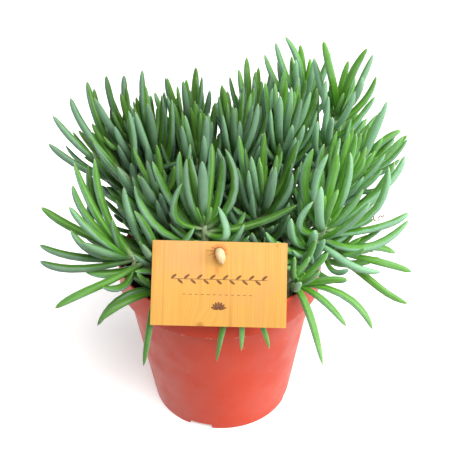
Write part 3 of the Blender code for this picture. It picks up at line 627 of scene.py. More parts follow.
class NodeSheet:
    """The nodes of one material, with short ways to add and join them, and its colour so far."""

    def __init__(self, name: str) -> None:
        """Start a material that has only its shader.

        Args:
            name: The material's name.
        """
        self.material = bpy.data.materials.new(name)
        self.material.use_nodes = True
        self.tree = self.material.node_tree
        self.shader = self.tree.nodes["Principled BSDF"]
        self.colour = None

    def add(self, kind: str, inputs: dict | None = None, **settings: object) -> bpy.types.Node:
        """Add a node, set it, and feed its inputs with sockets or plain values.

        Args:
            kind: The node's type.
            inputs: Sockets or plain values for its inputs.
            settings: Its own settings.

        Returns:
            The node.
        """
        node = self.tree.nodes.new(kind)
        for key, value in settings.items():
            setattr(node, key, value)
        for key, value in (inputs or {}).items():
            self.feed(node.inputs[key], value)
        return node

    def feed(self, socket: Socket, value: object) -> None:
        """Link a socket to another, or set it to a plain value.

        Args:
            socket: The input.
            value: A socket, a colour or a number.
        """
        if isinstance(value, bpy.types.NodeSocket):
            self.tree.links.new(value, socket)
        elif isinstance(value, tuple) and socket.type == "RGBA":
            socket.default_value = (*value, 1.0)
        else:
            socket.default_value = value

    def own_place(self) -> Socket:
        """Place on the piece, in metres."""
        return self.add("ShaderNodeTexCoord").outputs["Object"]

    def marks(self, name: str) -> tuple[Socket, Socket, Socket, Socket]:
        """The four numbers that the mesh stores for each point.

        Args:
            name: The attribute's name.

        Returns:
            The four numbers as sockets.
        """
        source = self.add("ShaderNodeAttribute", attribute_name=name)
        parts = self.add("ShaderNodeSeparateColor", {0: source.outputs["Color"]})
        return (*parts.outputs, source.outputs["Alpha"])

    def stretched(self, place: Socket, scale: Colour) -> Socket:
        """A place with each of its axes stretched."""
        return self.add("ShaderNodeMapping", {"Vector": place, "Scale": scale}).outputs["Vector"]

    def cloud(self, place: Socket, scale: float, detail: float = 3.0, rough: float = 0.55) -> Socket:
        """Soft noise from 0 to 1."""
        return self.add("ShaderNodeTexNoise", {"Vector": place, "Scale": scale, "Detail": detail,
                                               "Roughness": rough}).outputs["Fac"]

    def sum_of(self, operation: str, first: object, second: object = 0.0) -> Socket:
        """One step of arithmetic."""
        return self.add("ShaderNodeMath", {0: first, 1: second}, operation=operation).outputs[0]

    def plus(self, *terms: object) -> Socket:
        """Terms added up, from the first on."""
        return functools.reduce(functools.partial(self.sum_of, "ADD"), terms)

    def times(self, *factors: object) -> Socket:
        """Factors multiplied, from the first on."""
        return functools.reduce(functools.partial(self.sum_of, "MULTIPLY"), factors)

    def off_line(self, value: Socket, line: float) -> Socket:
        """How far a value is from a line."""
        return self.sum_of("ABSOLUTE", self.sum_of("SUBTRACT", value, line))

    def off_spot(self, plan: Socket, spot: Ring) -> Socket:
        """How far a place in a plan is from a spot."""
        return self.add("ShaderNodeVectorMath", {0: plan, 1: (*spot, 0.0)},
                        operation="DISTANCE").outputs["Value"]

    def band(self, value: Socket, low: float, high: float, start: float = 0.0,
             end: float = 1.0) -> Socket:
        """A smooth step from start to end, while a value goes from low to high."""
        return self.add("ShaderNodeMapRange", {"Value": value, "From Min": low, "From Max": high,
                                               "To Min": start, "To Max": end},
                        interpolation_type="SMOOTHSTEP").outputs["Result"]

    def mix(self, share: object, first: object, second: object, blend: str = "MIX") -> Socket:
        """Two colours mixed by a share of the second."""
        return self.add("ShaderNodeMix", {0: share, 6: first, 7: second}, data_type="RGBA",
                        blend_type=blend).outputs[2]

    def coat(self, share: object, colour: object, blend: str = "MIX") -> None:
        """Mix one more colour over the colour so far."""
        self.colour = self.mix(share, self.colour, colour, blend)

    def wash(self, colour: Colour, value: Socket, low: float, high: float, start: float = 0.0,
             end: float = 1.0) -> None:
        """Lay one more colour over the colour so far, as much as a smooth step says."""
        self.coat(self.band(value, low, high, start, end), colour)

    def relief(self, height: Socket, depth: float, strength: float = 1.0,
               under: Socket | None = None) -> Socket:
        """A fine relief, its depth in metres, on top of another one.

        Args:
            height: What stands out.
            depth: By how much, in metres.
            strength: How much of it is seen.
            under: The relief below it.

        Returns:
            The bent normal.
        """
        node = self.add("ShaderNodeBump", {"Height": height, "Distance": depth,
                                           "Strength": strength})
        if under is not None:
            self.feed(node.inputs["Normal"], under)
        return node.outputs["Normal"]

    def finish(self, roughness: object, normal: Socket | None, **constants: object) -> bpy.types.Material:
        """Join the shader up and set its constants, which are named with _ for a space.

        Args:
            roughness: A socket or a number.
            normal: The relief, if any.
            constants: Plain values of other inputs.

        Returns:
            The material.
        """
        self.feed(self.shader.inputs["Base Color"], self.colour)
        self.feed(self.shader.inputs["Roughness"], roughness)
        if normal is not None:
            self.feed(self.shader.inputs["Normal"], normal)
        for key, value in constants.items():
            self.shader.inputs[key.replace("_", " ")].default_value = value
        return self.material


@dataclass(frozen=True)
class MouldedPlastic:
    """Satin terracotta-coloured plastic, mottled, with scuffs where the collar ends."""

    colour: Colour = (0.62, 0.046, 0.011)
    deep: Colour = (0.54, 0.036, 0.009)
    light: Colour = (0.68, 0.062, 0.018)
    worn: Colour = (0.76, 0.33, 0.24)
    scuff_height: float = 101.6 * MM
    scuff_half_width: float = 0.9 * MM

    def material(self) -> bpy.types.Material:
        """The finish as nodes.

        Returns:
            The material.
        """
        sheet = NodeSheet("moulded_plastic")
        place = sheet.own_place()
        mottle = sheet.cloud(place, 26.0, 4.0)
        flow = sheet.cloud(sheet.stretched(place, (90.0, 90.0, 9.0)), 1.0, 2.0)
        sheet.colour = sheet.mix(sheet.band(mottle, 0.34, 0.66), self.deep, self.light)
        sheet.coat(0.62, self.colour)
        sheet.wash(self.light, flow, 0.35, 0.7, 0.0, 0.16)
        height = sheet.add("ShaderNodeSeparateXYZ", {0: place}).outputs["Z"]
        near_line = sheet.band(sheet.off_line(height, self.scuff_height), 0.25 * self.scuff_half_width,
                               self.scuff_half_width, 1.0, 0.0)
        rubbed = sheet.band(sheet.cloud(place, 210.0, 5.0, 0.7), 0.54, 0.62)
        chips = sheet.band(sheet.cloud(place, 330.0, 2.0), 0.735, 0.765, 0.0, 0.8)
        sheet.coat(sheet.sum_of("MAXIMUM", sheet.times(near_line, rubbed, 0.8), chips), self.worn)
        rough = sheet.band(sheet.cloud(place, 60.0, 3.0), 0.3, 0.7, 0.34, 0.48)
        peel = sheet.relief(sheet.cloud(place, 1400.0, 2.0), 0.00012, 0.25)
        return sheet.finish(rough, sheet.relief(mottle, 0.0009, 0.35, peel), Specular_IOR_Level=0.33)


@dataclass(frozen=True)
class DarkSoil:
    """Nearly black peaty soil with a few brown fibres and pale grains."""

    dark: Colour = (0.010, 0.006, 0.004)
    brown: Colour = (0.055, 0.028, 0.015)
    grain: Colour = (0.24, 0.17, 0.11)

    def material(self) -> bpy.types.Material:
        """The finish as nodes.

        Returns:
            The material.
        """
        sheet = NodeSheet("dark_soil")
        place = sheet.own_place()
        lumps = sheet.cloud(place, 260.0, 5.0, 0.7)
        sheet.colour = sheet.mix(sheet.band(lumps, 0.42, 0.68), self.dark, self.brown)
        sheet.wash(self.grain, sheet.cloud(place, 520.0, 2.0), 0.70, 0.75, 0.0, 0.6)
        return sheet.finish(0.92, sheet.relief(lumps, 0.0016, 0.9), Specular_IOR_Level=0.25)


@dataclass(frozen=True)
class CardVeneer:
    """Pale golden veneer with its grain up the card, a knot at its foot and a stain at its hole."""

    hole: Ring
    light: Colour = (0.63, 0.335, 0.074)
    mid: Colour = (0.58, 0.292, 0.052)
    dark: Colour = (0.41, 0.170, 0.028)
    stain: Colour = (0.50, 0.125, 0.016)
    blush: Colour = (0.57, 0.270, 0.105)
    knot_place: Ring = (-11.0 * MM, -25.5 * MM)
    smear: Ring = (-1.5 * MM, 3.6 * MM)
    blush_place: Ring = (-22.0 * MM, 20.0 * MM)
    grey_line: float = -33.5 * MM
    speck_place: Ring = (34.5 * MM, 23.8 * MM)

    def material(self) -> bpy.types.Material:
        """The finish as nodes.

        Returns:
            The material.
        """
        sheet = NodeSheet("card_veneer")
        plan = sheet.add("ShaderNodeAttribute", attribute_name="plan").outputs["Color"]
        knot = sheet.off_spot(plan, self.knot_place)
        apart = sheet.add("ShaderNodeSeparateXYZ", {0: plan}).outputs
        across = sheet.plus(apart["X"], sheet.band(knot, 1.5 * MM, 14.0 * MM, 5.0 * MM, 0.0))
        swayed = sheet.add("ShaderNodeCombineXYZ", {0: across, 1: apart["Y"], 2: apart["Z"]}).outputs[0]
        fibres = sheet.cloud(sheet.stretched(swayed, (1500.0, 26.0, 200.0)), 1.0, 4.0, 0.6)
        bands = sheet.cloud(sheet.stretched(swayed, (210.0, 7.0, 60.0)), 1.0, 3.0, 0.5)
        off_hole = sheet.plus(sheet.off_spot(plan, self.hole), sheet.times(fibres, 2.4 * MM))
        off_smear = sheet.plus(sheet.off_spot(sheet.stretched(plan, (1.0, 0.45, 1.0)), self.smear),
                               sheet.times(fibres, 1.5 * MM))
        sheet.colour = sheet.mix(sheet.band(fibres, 0.3, 0.7), self.mid, self.light)
        sheet.wash(self.dark, bands, 0.55, 0.78, 0.0, 0.55)
        sheet.wash(self.dark, knot, 1.0 * MM, 3.6 * MM, 0.95, 0.0)
        sheet.wash(self.stain, off_hole, 3.8 * MM, 7.5 * MM, 0.8, 0.0)
        sheet.wash(self.stain, off_smear, 1.2 * MM, 2.8 * MM, 0.6, 0.0)
        sheet.wash(self.blush, sheet.cloud(plan, 55.0, 2.0), 0.45, 0.7, 0.0, 0.3)
        sheet.wash(self.blush, sheet.off_spot(plan, self.blush_place), 6.0 * MM, 24.0 * MM, 0.45, 0.0)
        sheet.wash(self.dark, sheet.off_line(across, self.grey_line), 0.15 * MM, 0.6 * MM, 0.4, 0.0)
        sheet.wash(self.dark, sheet.off_spot(plan, self.speck_place), 0.5 * MM, 1.5 * MM, 0.8, 0.0)
        rough = sheet.band(fibres, 0.2, 0.8, 0.62, 0.46)
        return sheet.finish(rough, sheet.relief(fibres, 0.00022, 0.6), Specular_IOR_Level=0.35)


@dataclass(frozen=True)
class RawWood:
    """Bare wood or dry threads of one colour with soft fibres: torn, burnt, cut or withered."""

    name: str
    light: Colour
    dark: Colour
    roughness: float = 0.75

    def material(self) -> bpy.types.Material:
        """The finish as nodes.

        Returns:
            The material.
        """
        sheet = NodeSheet(self.name)
        fibres = sheet.cloud(sheet.stretched(sheet.own_place(), (700.0, 160.0, 160.0)), 1.0, 4.0, 0.65)
        sheet.colour = sheet.mix(sheet.band(fibres, 0.3, 0.7), self.dark, self.light)
        return sheet.finish(self.roughness, sheet.relief(fibres, 0.0002, 0.5), Specular_IOR_Level=0.3)


@dataclass(frozen=True)
class LeafSkin:
    """Waxy blue-green leaf skin: bloom over green flesh, a clear stripe on the upper side, pale tips, and
    painted light that makes leaves to the right and front lighter.
    """

    bloom: Colour = (0.192, 0.364, 0.224)
    flesh: Colour = (0.032, 0.172, 0.004)
    upper: Colour = (0.098, 0.272, 0.008)
    window: Colour = (0.034, 0.135, 0.007)
    rim: Colour = (0.250, 0.450, 0.205)
    young: Colour = (0.120, 0.310, 0.026)
    tip: Colour = (0.480, 0.470, 0.210)
    base: Colour = (0.420, 0.540, 0.300)
    amber: Colour = (0.420, 0.270, 0.110)
    glow_reach: Colour = (0.45, 1.0, 0.30)

    def material(self) -> bpy.types.Material:
        """The finish as nodes.

        Returns:
            The material.
        """
        sheet = NodeSheet("leaf_skin")
        band = sheet.band
        place = sheet.own_place()
        along, side, tone_and_painted_light, age = sheet.marks("leaf")
        fine = sheet.cloud(place, 900.0, 2.0)
        # Bloom: random patches, more on the outer side; less towards the root, partly the greener leaf
        # base and partly painted shade deep in the crown; more with the tone, so painted light too.
        bloom_and_painted_light = sheet.plus(sheet.times(sheet.cloud(place, 95.0, 4.0, 0.6), 0.7), sheet.times(tone_and_painted_light, 0.36),
                         band(along, 0.08, 0.70, -0.30, 0.08), band(side, 0.40, 0.75, 0.08, -0.32))
        wavy = sheet.plus(side, sheet.times(sheet.sum_of("SUBTRACT", fine, 0.5), 0.05))
        stripe = sheet.times(band(wavy, 0.925, 0.985), band(along, 0.06, 0.22),
                             band(along, 0.78, 0.95, 1.0, 0.0), 0.4)
        flank = sheet.times(band(wavy, 0.76, 0.86), band(wavy, 0.88, 0.95, 1.0, 0.0), 0.12)
        old = sheet.times(band(age, 0.6, 0.8), band(side, 0.1, 0.4, 1.0, 0.0),
                          band(sheet.cloud(place, 38.0, 2.0), 0.55, 0.68, 0.0, 0.8),
                          band(along, 0.20, 0.65, 1.0, 0.0))
        sheet.colour = sheet.mix(band(bloom_and_painted_light, 0.16, 0.62), self.flesh, self.bloom)
        sheet.wash(self.upper, side, 0.50, 0.80, 0.0, 0.60)
        sheet.coat(flank, self.rim)
        sheet.wash(self.rim, wavy, 0.0, 0.05, 0.15, 0.0)
        sheet.coat(stripe, self.window)
        sheet.wash(self.young, age, 0.02, 0.30, 0.65, 0.0)
        sheet.wash(self.base, along, 0.02, 0.15, 0.75, 0.0)
        sheet.coat(old, self.amber)
        sheet.wash(self.tip, along, 0.972, 0.996, 0.0, 0.6)
        # Painted light and shade: leaves with a higher tone, those to the right and front, are made
        # brighter and the others darker, over a fine random grain.
        grain_and_painted_light = sheet.times(band(fine, 0.3, 0.7, 0.92, 1.06), band(tone_and_painted_light, 0.10, 0.90, 0.56, 1.42))
        shade = sheet.add("ShaderNodeCombineColor", {0: grain_and_painted_light, 1: grain_and_painted_light, 2: grain_and_painted_light}).outputs[0]
        sheet.coat(1.0, shade, "MULTIPLY")
        return sheet.finish(band(bloom_and_painted_light, 0.16, 0.56, 0.42, 0.58), sheet.relief(fine, 0.00014, 0.35),
                            Specular_IOR_Level=0.42, Subsurface_Weight=0.30, Subsurface_Scale=0.0040,
                            Subsurface_Radius=self.glow_reach, Sheen_Weight=0.06, Sheen_Roughness=0.50)


@dataclass(frozen=True)
class StemSkin:
    """Pale whitish-green stem skin, greener towards the tip, with brown scars."""

    pale: Colour = (0.46, 0.52, 0.36)
    green: Colour = (0.36, 0.47, 0.28)
    scar: Colour = (0.22, 0.15, 0.09)

    def material(self) -> bpy.types.Material:
        """The finish as nodes.

        Returns:
            The material.
        """
        sheet = NodeSheet("stem_skin")
        place = sheet.own_place()
        along = sheet.marks("leaf")[0]
        streaks = sheet.cloud(sheet.stretched(place, (420.0, 420.0, 90.0)), 1.0, 4.0, 0.6)
        sheet.colour = sheet.mix(sheet.band(along, 0.15, 0.8), self.pale, self.green)
        sheet.wash(self.green, streaks, 0.4, 0.7, 0.0, 0.45)
        sheet.wash(self.scar, sheet.cloud(place, 320.0, 2.0), 0.64, 0.70, 0.0, 0.8)
        return sheet.finish(0.6, sheet.relief(streaks, 0.0004, 0.5), Specular_IOR_Level=0.35,
                            Subsurface_Weight=0.10, Subsurface_Scale=0.002)


# Sub-assemblies

@dataclass
class Studio:
    """A plain pale floor, plain soft light, and the camera at the photograph's viewing angle."""

    camera_place: Colour = (0.003, -0.429, 0.416)
    pitch_down: float = 32.7
    yaw: float = 0.2
    roll: float = -0.7
    focal_pixels: float = 756.0
    sky: float = 0.30
    floor_side: float = 6.0

    def camera(self) -> None:
        """Set up the camera that took the photograph."""
        data = bpy.data.cameras.new("viewpoint")
        data.sensor_width = SENSOR_WIDTH
        data.lens = self.focal_pixels / PICTURE_SIDE * SENSOR_WIDTH
        data.clip_start = 0.01
        pitch, yaw, roll = (math.radians(a) for a in (self.pitch_down, self.yaw, self.roll))
        ahead = Vector((math.sin(yaw), math.cos(yaw), 0.0)) * math.cos(pitch)
        ahead.z = -math.sin(pitch)
        right = Vector((math.cos(yaw), -math.sin(yaw), 0.0))
        upright = right.cross(ahead)
        level_x = right * math.cos(roll) + upright * math.sin(roll)
        level_y = upright * math.cos(roll) - right * math.sin(roll)
        camera = bpy.data.objects.new("viewpoint", data)
        bpy.context.scene.collection.objects.link(camera)
        turn = Matrix((level_x, level_y, -ahead)).transposed().to_4x4()
        camera.matrix_world = Matrix.Translation(Vector(self.camera_place)) @ turn
        bpy.context.scene.camera = camera

    def lamp(self, name: str, place: Colour, softness: float, power: float, tint: Colour) -> None:
        """Shine one soft even light on the object, from the side where it hangs.

        Args:
            name: The lamp's name.
            place: The side from which it shines.
            softness: Its angle in degrees.
            power: Its strength.
            tint: Its colour.
        """
        data = bpy.data.lights.new(name, "SUN")
        data.angle = math.radians(softness)
        data.energy = power
        data.color = tint
        light = bpy.data.objects.new(name, data)
        bpy.context.scene.collection.objects.link(light)
        turn = (-Vector(place)).to_track_quat("-Z", "Y").to_matrix().to_4x4()
        light.matrix_world = Matrix.Translation(place) @ turn

    def floor(self) -> None:
        """Lay the pale floor."""
        clear_selection()
        bpy.ops.mesh.primitive_plane_add(size=self.floor_side)
        floor = bpy.context.object
        floor.name = "studio_floor"
        sheet = NodeSheet("pale_floor")
        faint = sheet.cloud(sheet.own_place(), 3.0, 2.0)
        sheet.colour = sheet.mix(sheet.band(faint, 0.3, 0.7), (0.90, 0.90, 0.90), (0.93, 0.93, 0.93))
        dress(floor, sheet.finish(0.9, None, Specular_IOR_Level=0.1, Emission_Strength=0.35))
        floor.visible_diffuse = False

    def build(self) -> None:
        """Set up the whole studio."""
        scene = bpy.context.scene
        world = bpy.data.worlds.new("studio_sky")
        world.use_nodes = True
        background = world.node_tree.nodes["Background"]
        background.inputs["Color"].default_value = (1.0, 1.0, 1.0, 1.0)
        background.inputs["Strength"].default_value = self.sky
        scene.world = world
        scene.view_settings.view_transform = "Standard"
        self.camera()
        self.lamp("key", (0.30, -0.65, 1.20), 36.0, 2.9, (1.0, 0.985, 0.95))
        self.lamp("side", (1.0, -0.45, 0.50), 45.0, 3.0, (1.0, 0.99, 0.97))
        self.lamp("fill", (-1.0, -0.35, 0.25), 60.0, 0.8, (0.97, 0.98, 1.0))
        self.floor()


@dataclass
class Pot:
    """The moulded 14 cm nursery pot, with drain channels in its foot."""

    height: float = 120.6 * MM
    rim_outer: float = 69.6 * MM
    collar_outer: float = 70.0 * MM
    collar_height: float = 19.3 * MM
    body_top_outer: float = 65.3 * MM
    foot_outer: float = 50.8 * MM
    foot_round: float = 1.2 * MM
    wall: float = 1.4 * MM
    floor: float = 1.6 * MM
    edge_round: float = 0.35 * MM
    sides: int = 144
    solid_steps: int = 32
    channel_count: int = 4
    channel_turn: float = -108.0
    channel_width: float = 17.0 * MM
    channel_rise: float = 4.3 * MM
    channel_start: float = 30.0 * MM
    channel_round: float = 0.9 * MM
    drain_radius: float = 3.5 * MM
    drain_place: float = 38.0 * MM
    drain_sides: int = 24
    cut_past: float = 1.0 * MM
    finish: MouldedPlastic = MouldedPlastic()

    @property
    def under_collar(self) -> float:
        """Height of the collar's lower edge."""
        return self.height - self.collar_height

    def near(self, points: np.ndarray, gaps: np.ndarray, soil_top: float, buried: int) -> bool:
        """Whether a leaf comes too near the wall, the rim, the soil or the ground, in millimetres.

        Args:
            points: Points along the leaf.
            gaps: How clear each of them has to be.
            soil_top: Highest level of the soil, in metres.
            buried: How many points at the leaf's root may be in the soil.

        Returns:
            True where it is too near.
        """
        rho = np.hypot(points[:, 0], points[:, 1])
        z = points[:, 2]
        rim = self.height / MM
        inner = (self.rim_outer - self.wall) / MM
        under_collar = self.under_collar / MM
        body = (self.foot_outer + (self.body_top_outer - self.foot_outer) * z / under_collar) / MM
        outer = np.where(z > under_collar - 2.0, self.collar_outer / MM, body)
        slack = 1.0 / math.cos(math.pi / self.solid_steps)
        beside = (z < rim + gaps) & (rho > inner / slack - gaps) & (rho < outer + gaps)
        sideways = np.maximum(np.maximum(inner - rho, rho - self.rim_outer / MM), 0.0)
        over_edge = (z > rim) & (np.hypot(sideways, z - rim) >= gaps)
        in_soil = (rho < inner) & (z < soil_top / MM + gaps)
        in_soil[:buried] = False
        return bool(np.any((beside & ~over_edge) | in_soil | (z < gaps)))

    def section(self) -> list[Ring]:
        """Half section with round edges, up the inside, over the lip and down the outside.

        Returns:
            Radius and height of each point.
        """
        wall, under = self.wall, self.under_collar
        half, edge, foot = wall / 2.0, self.edge_round, self.foot_round
        return [
            (self.foot_outer - wall - foot, self.floor),
            *arc((self.foot_outer - wall - foot, self.floor + foot), foot, -60.0, 0.0, 2),
            (self.body_top_outer - wall, under - wall),
            (self.body_top_outer - wall + 0.6 * MM, under - wall + 0.8 * MM),
            (self.collar_outer - wall - 0.5 * MM, under + 1.3 * wall),
            (self.collar_outer - wall, under + 1.6 * wall),
            *arc((self.rim_outer - half, self.height - half), half, 180.0, 0.0, 8),
            (self.collar_outer - 0.06 * MM, under + 4.0 * MM),
            *arc((self.collar_outer - edge, under + edge), edge, 0.0, -80.0, 4),
            (self.body_top_outer + 0.5 * MM, under - 0.7 * wall),
            (self.body_top_outer + 0.1 * MM, under - 1.0 * wall),
            (self.body_top_outer - 0.1 * MM, under - 1.6 * wall),
            *arc((self.foot_outer - foot, foot), foot, 0.0, -90.0, 5),
            (self.drain_place - 2.0 * self.drain_radius, 0.0),
        ]

    def drain_tools(self) -> tuple[Thing, Thing]:
        """Shapes for the drain channels: what is added above the floor, and what is cut away.

        Returns:
            The humps and the channels, each joined.
        """
        wall, rise, half = self.wall, self.channel_rise, self.channel_width / 2.0
        humps, channels = [], []
        for k in range(self.channel_count):
            hump = block("hump", (self.channel_start - wall, -half - wall, 0.5 * self.floor),
                         (self.foot_outer - 1.2 * wall, half + wall, rise + wall))
            channel = block("channel", (self.channel_start, -half, -self.cut_past),
                            (self.foot_outer + self.foot_round, half, rise))
            begin_edit(channel)
            pick(channel, Element.EDGES, lambda m: m.z > 0.9 * rise and abs(m.y) > 0.9 * half)
            bpy.ops.mesh.bevel(offset=self.channel_round, segments=3)
            end_edit()
            drain = ring_stack("drain", [(self.drain_radius, 0.5 * rise),
                                         (self.drain_radius, 2.0 * rise + 2.0 * wall)], self.drain_sides)
            settle(drain, Matrix.Translation((self.drain_place, 0.0, 0.0)))
            for part in (hump, channel, drain):
                settle(part, turned(self.channel_turn + 360.0 * k / self.channel_count))
            combine(channel, drain, "UNION")
            humps.append(hump)
            channels.append(channel)
        return join("humps", humps), join("channels", channels)

    def build(self) -> None:
        """Model the pot and dress it."""
        pot = ring_stack("pot_fine", self.section(), self.sides)
        humps, channels = self.drain_tools()
        combine(pot, humps, "UNION")
        combine(pot, channels, "DIFFERENCE")
        smooth(pot, 38.0)
        dress(pot, self.finish.material())
        hand_over(pot, Slot.PLASTIC, "pot")


@dataclass
class Soil:
    """Dark soil that fills the pot, with crumbs on its surface."""

    pot: Pot
    level: float = 110.0 * MM
    mound: float = 1.2 * MM
    lump: float = 0.9 * MM
    lump_span: float = 7.0 * MM
    touch_gap: float = 0.3 * MM
    hole_depth: float = 18.0 * MM
    sides: int = 96
    top_rings: int = 26
    crumbs: int = 900
    seed: int = 41
    finish: DarkSoil = DarkSoil()

    @property
    def top(self) -> float:
        """Highest level of the soil."""
        return self.level + self.mound + self.lump

    @property
    def foot(self) -> float:
        """Lowest level of the soil, above the drain channels."""
        return self.pot.channel_rise + self.pot.wall + self.touch_gap

    def surface(self, x: float, y: float) -> float:
        """Height of the soil at a place: a low mound with lumps, calmer along the pot's wall.

        Args:
            x: Place across.
            y: Place in depth.

        Returns:
            The height there, in metres.
        """
        inner = self.pot.rim_outer - self.pot.wall
        rho = math.hypot(x, y)
        edge = min(1.0, max(0.0, (inner - rho) / (0.07 * inner)))
        coarse = self.lump * noise.noise(Vector((x, y, 0.0)) / self.lump_span)
        fine = 0.35 * self.lump * noise.noise(Vector((x, y, 1.0)) / (0.3 * self.lump_span))
        return self.level + self.mound * (1.0 - (rho / inner) ** 2) + (coarse + fine) * edge

    def body(self) -> Thing:
        """The fill with its uneven top.

        Returns:
            The fill.
        """
        pot = self.pot
        gap = self.touch_gap
        edge = pot.collar_outer - pot.wall - 1.2 * gap
        slope = (pot.body_top_outer - pot.foot_outer) / (pot.under_collar - pot.wall)
        rings = [(pot.foot_outer - pot.wall - pot.foot_round + slope * self.foot, self.foot),
                 (pot.body_top_outer - pot.wall - 1.5 * gap, pot.under_collar - pot.wall - gap),
                 (edge, pot.under_collar + 1.8 * pot.wall),
                 (edge, self.level)]
        rings += [(edge * (1.0 - k / self.top_rings), self.level) for k in range(1, self.top_rings)]
        soil = ring_stack("soil_fine", rings, self.sides)
        points = read_points(soil)
        high = points[:, 2] > self.level - 0.01 * MM
        points[high, 2] = [self.surface(x, y) for x, y in points[high, :2]]
        write_points(soil, points)
        return soil

    def scatter(self) -> list[Thing]:
        """Small crumbs, one modelled and the rest copied, each of its own size and turn.

        Returns:
            The crumbs.
        """
        clear_selection()
        bpy.ops.mesh.primitive_ico_sphere_add(subdivisions=1, radius=1.0, enter_editmode=True)
        pattern = bpy.context.object
        bpy.ops.transform.vertex_random(offset=0.22, seed=self.seed)
        end_edit()
        draw = np.random.default_rng(self.seed)
        reach = self.pot.rim_outer - self.pot.wall - 2.0 * MM
        pieces = []
        for _ in range(self.crumbs):
            rho = reach * math.sqrt(draw.random())
            turn = draw.random() * 2.0 * math.pi
            x, y = rho * math.cos(turn), rho * math.sin(turn)
            size = MM * draw.choice((0.5, 0.7, 0.9, 1.3, 1.8), p=(0.3, 0.3, 0.2, 0.13, 0.07))
            stretch = Vector(draw.uniform(0.6, 1.5, 3)) * size
            crumb = copy_of(pattern)
            spin = Matrix.Rotation(draw.random() * 6.0, 4, draw.normal(size=3))
            place = Matrix.Translation((x, y, self.surface(x, y) + 0.25 * size))
            crumb.data.transform(place @ spin @ Matrix.Diagonal((*stretch, 1.0)))
            pieces.append(crumb)
        bpy.data.objects.remove(pattern, do_unlink=True)
        return pieces

    def build(self) -> None:
        """Model the soil and dress it."""
        soil = join("soil_fine", [self.body(), *self.scatter()])
        smooth(soil, 60.0)
        dress(soil, self.finish.material())
        hand_over(soil, Slot.SOIL, "soil")


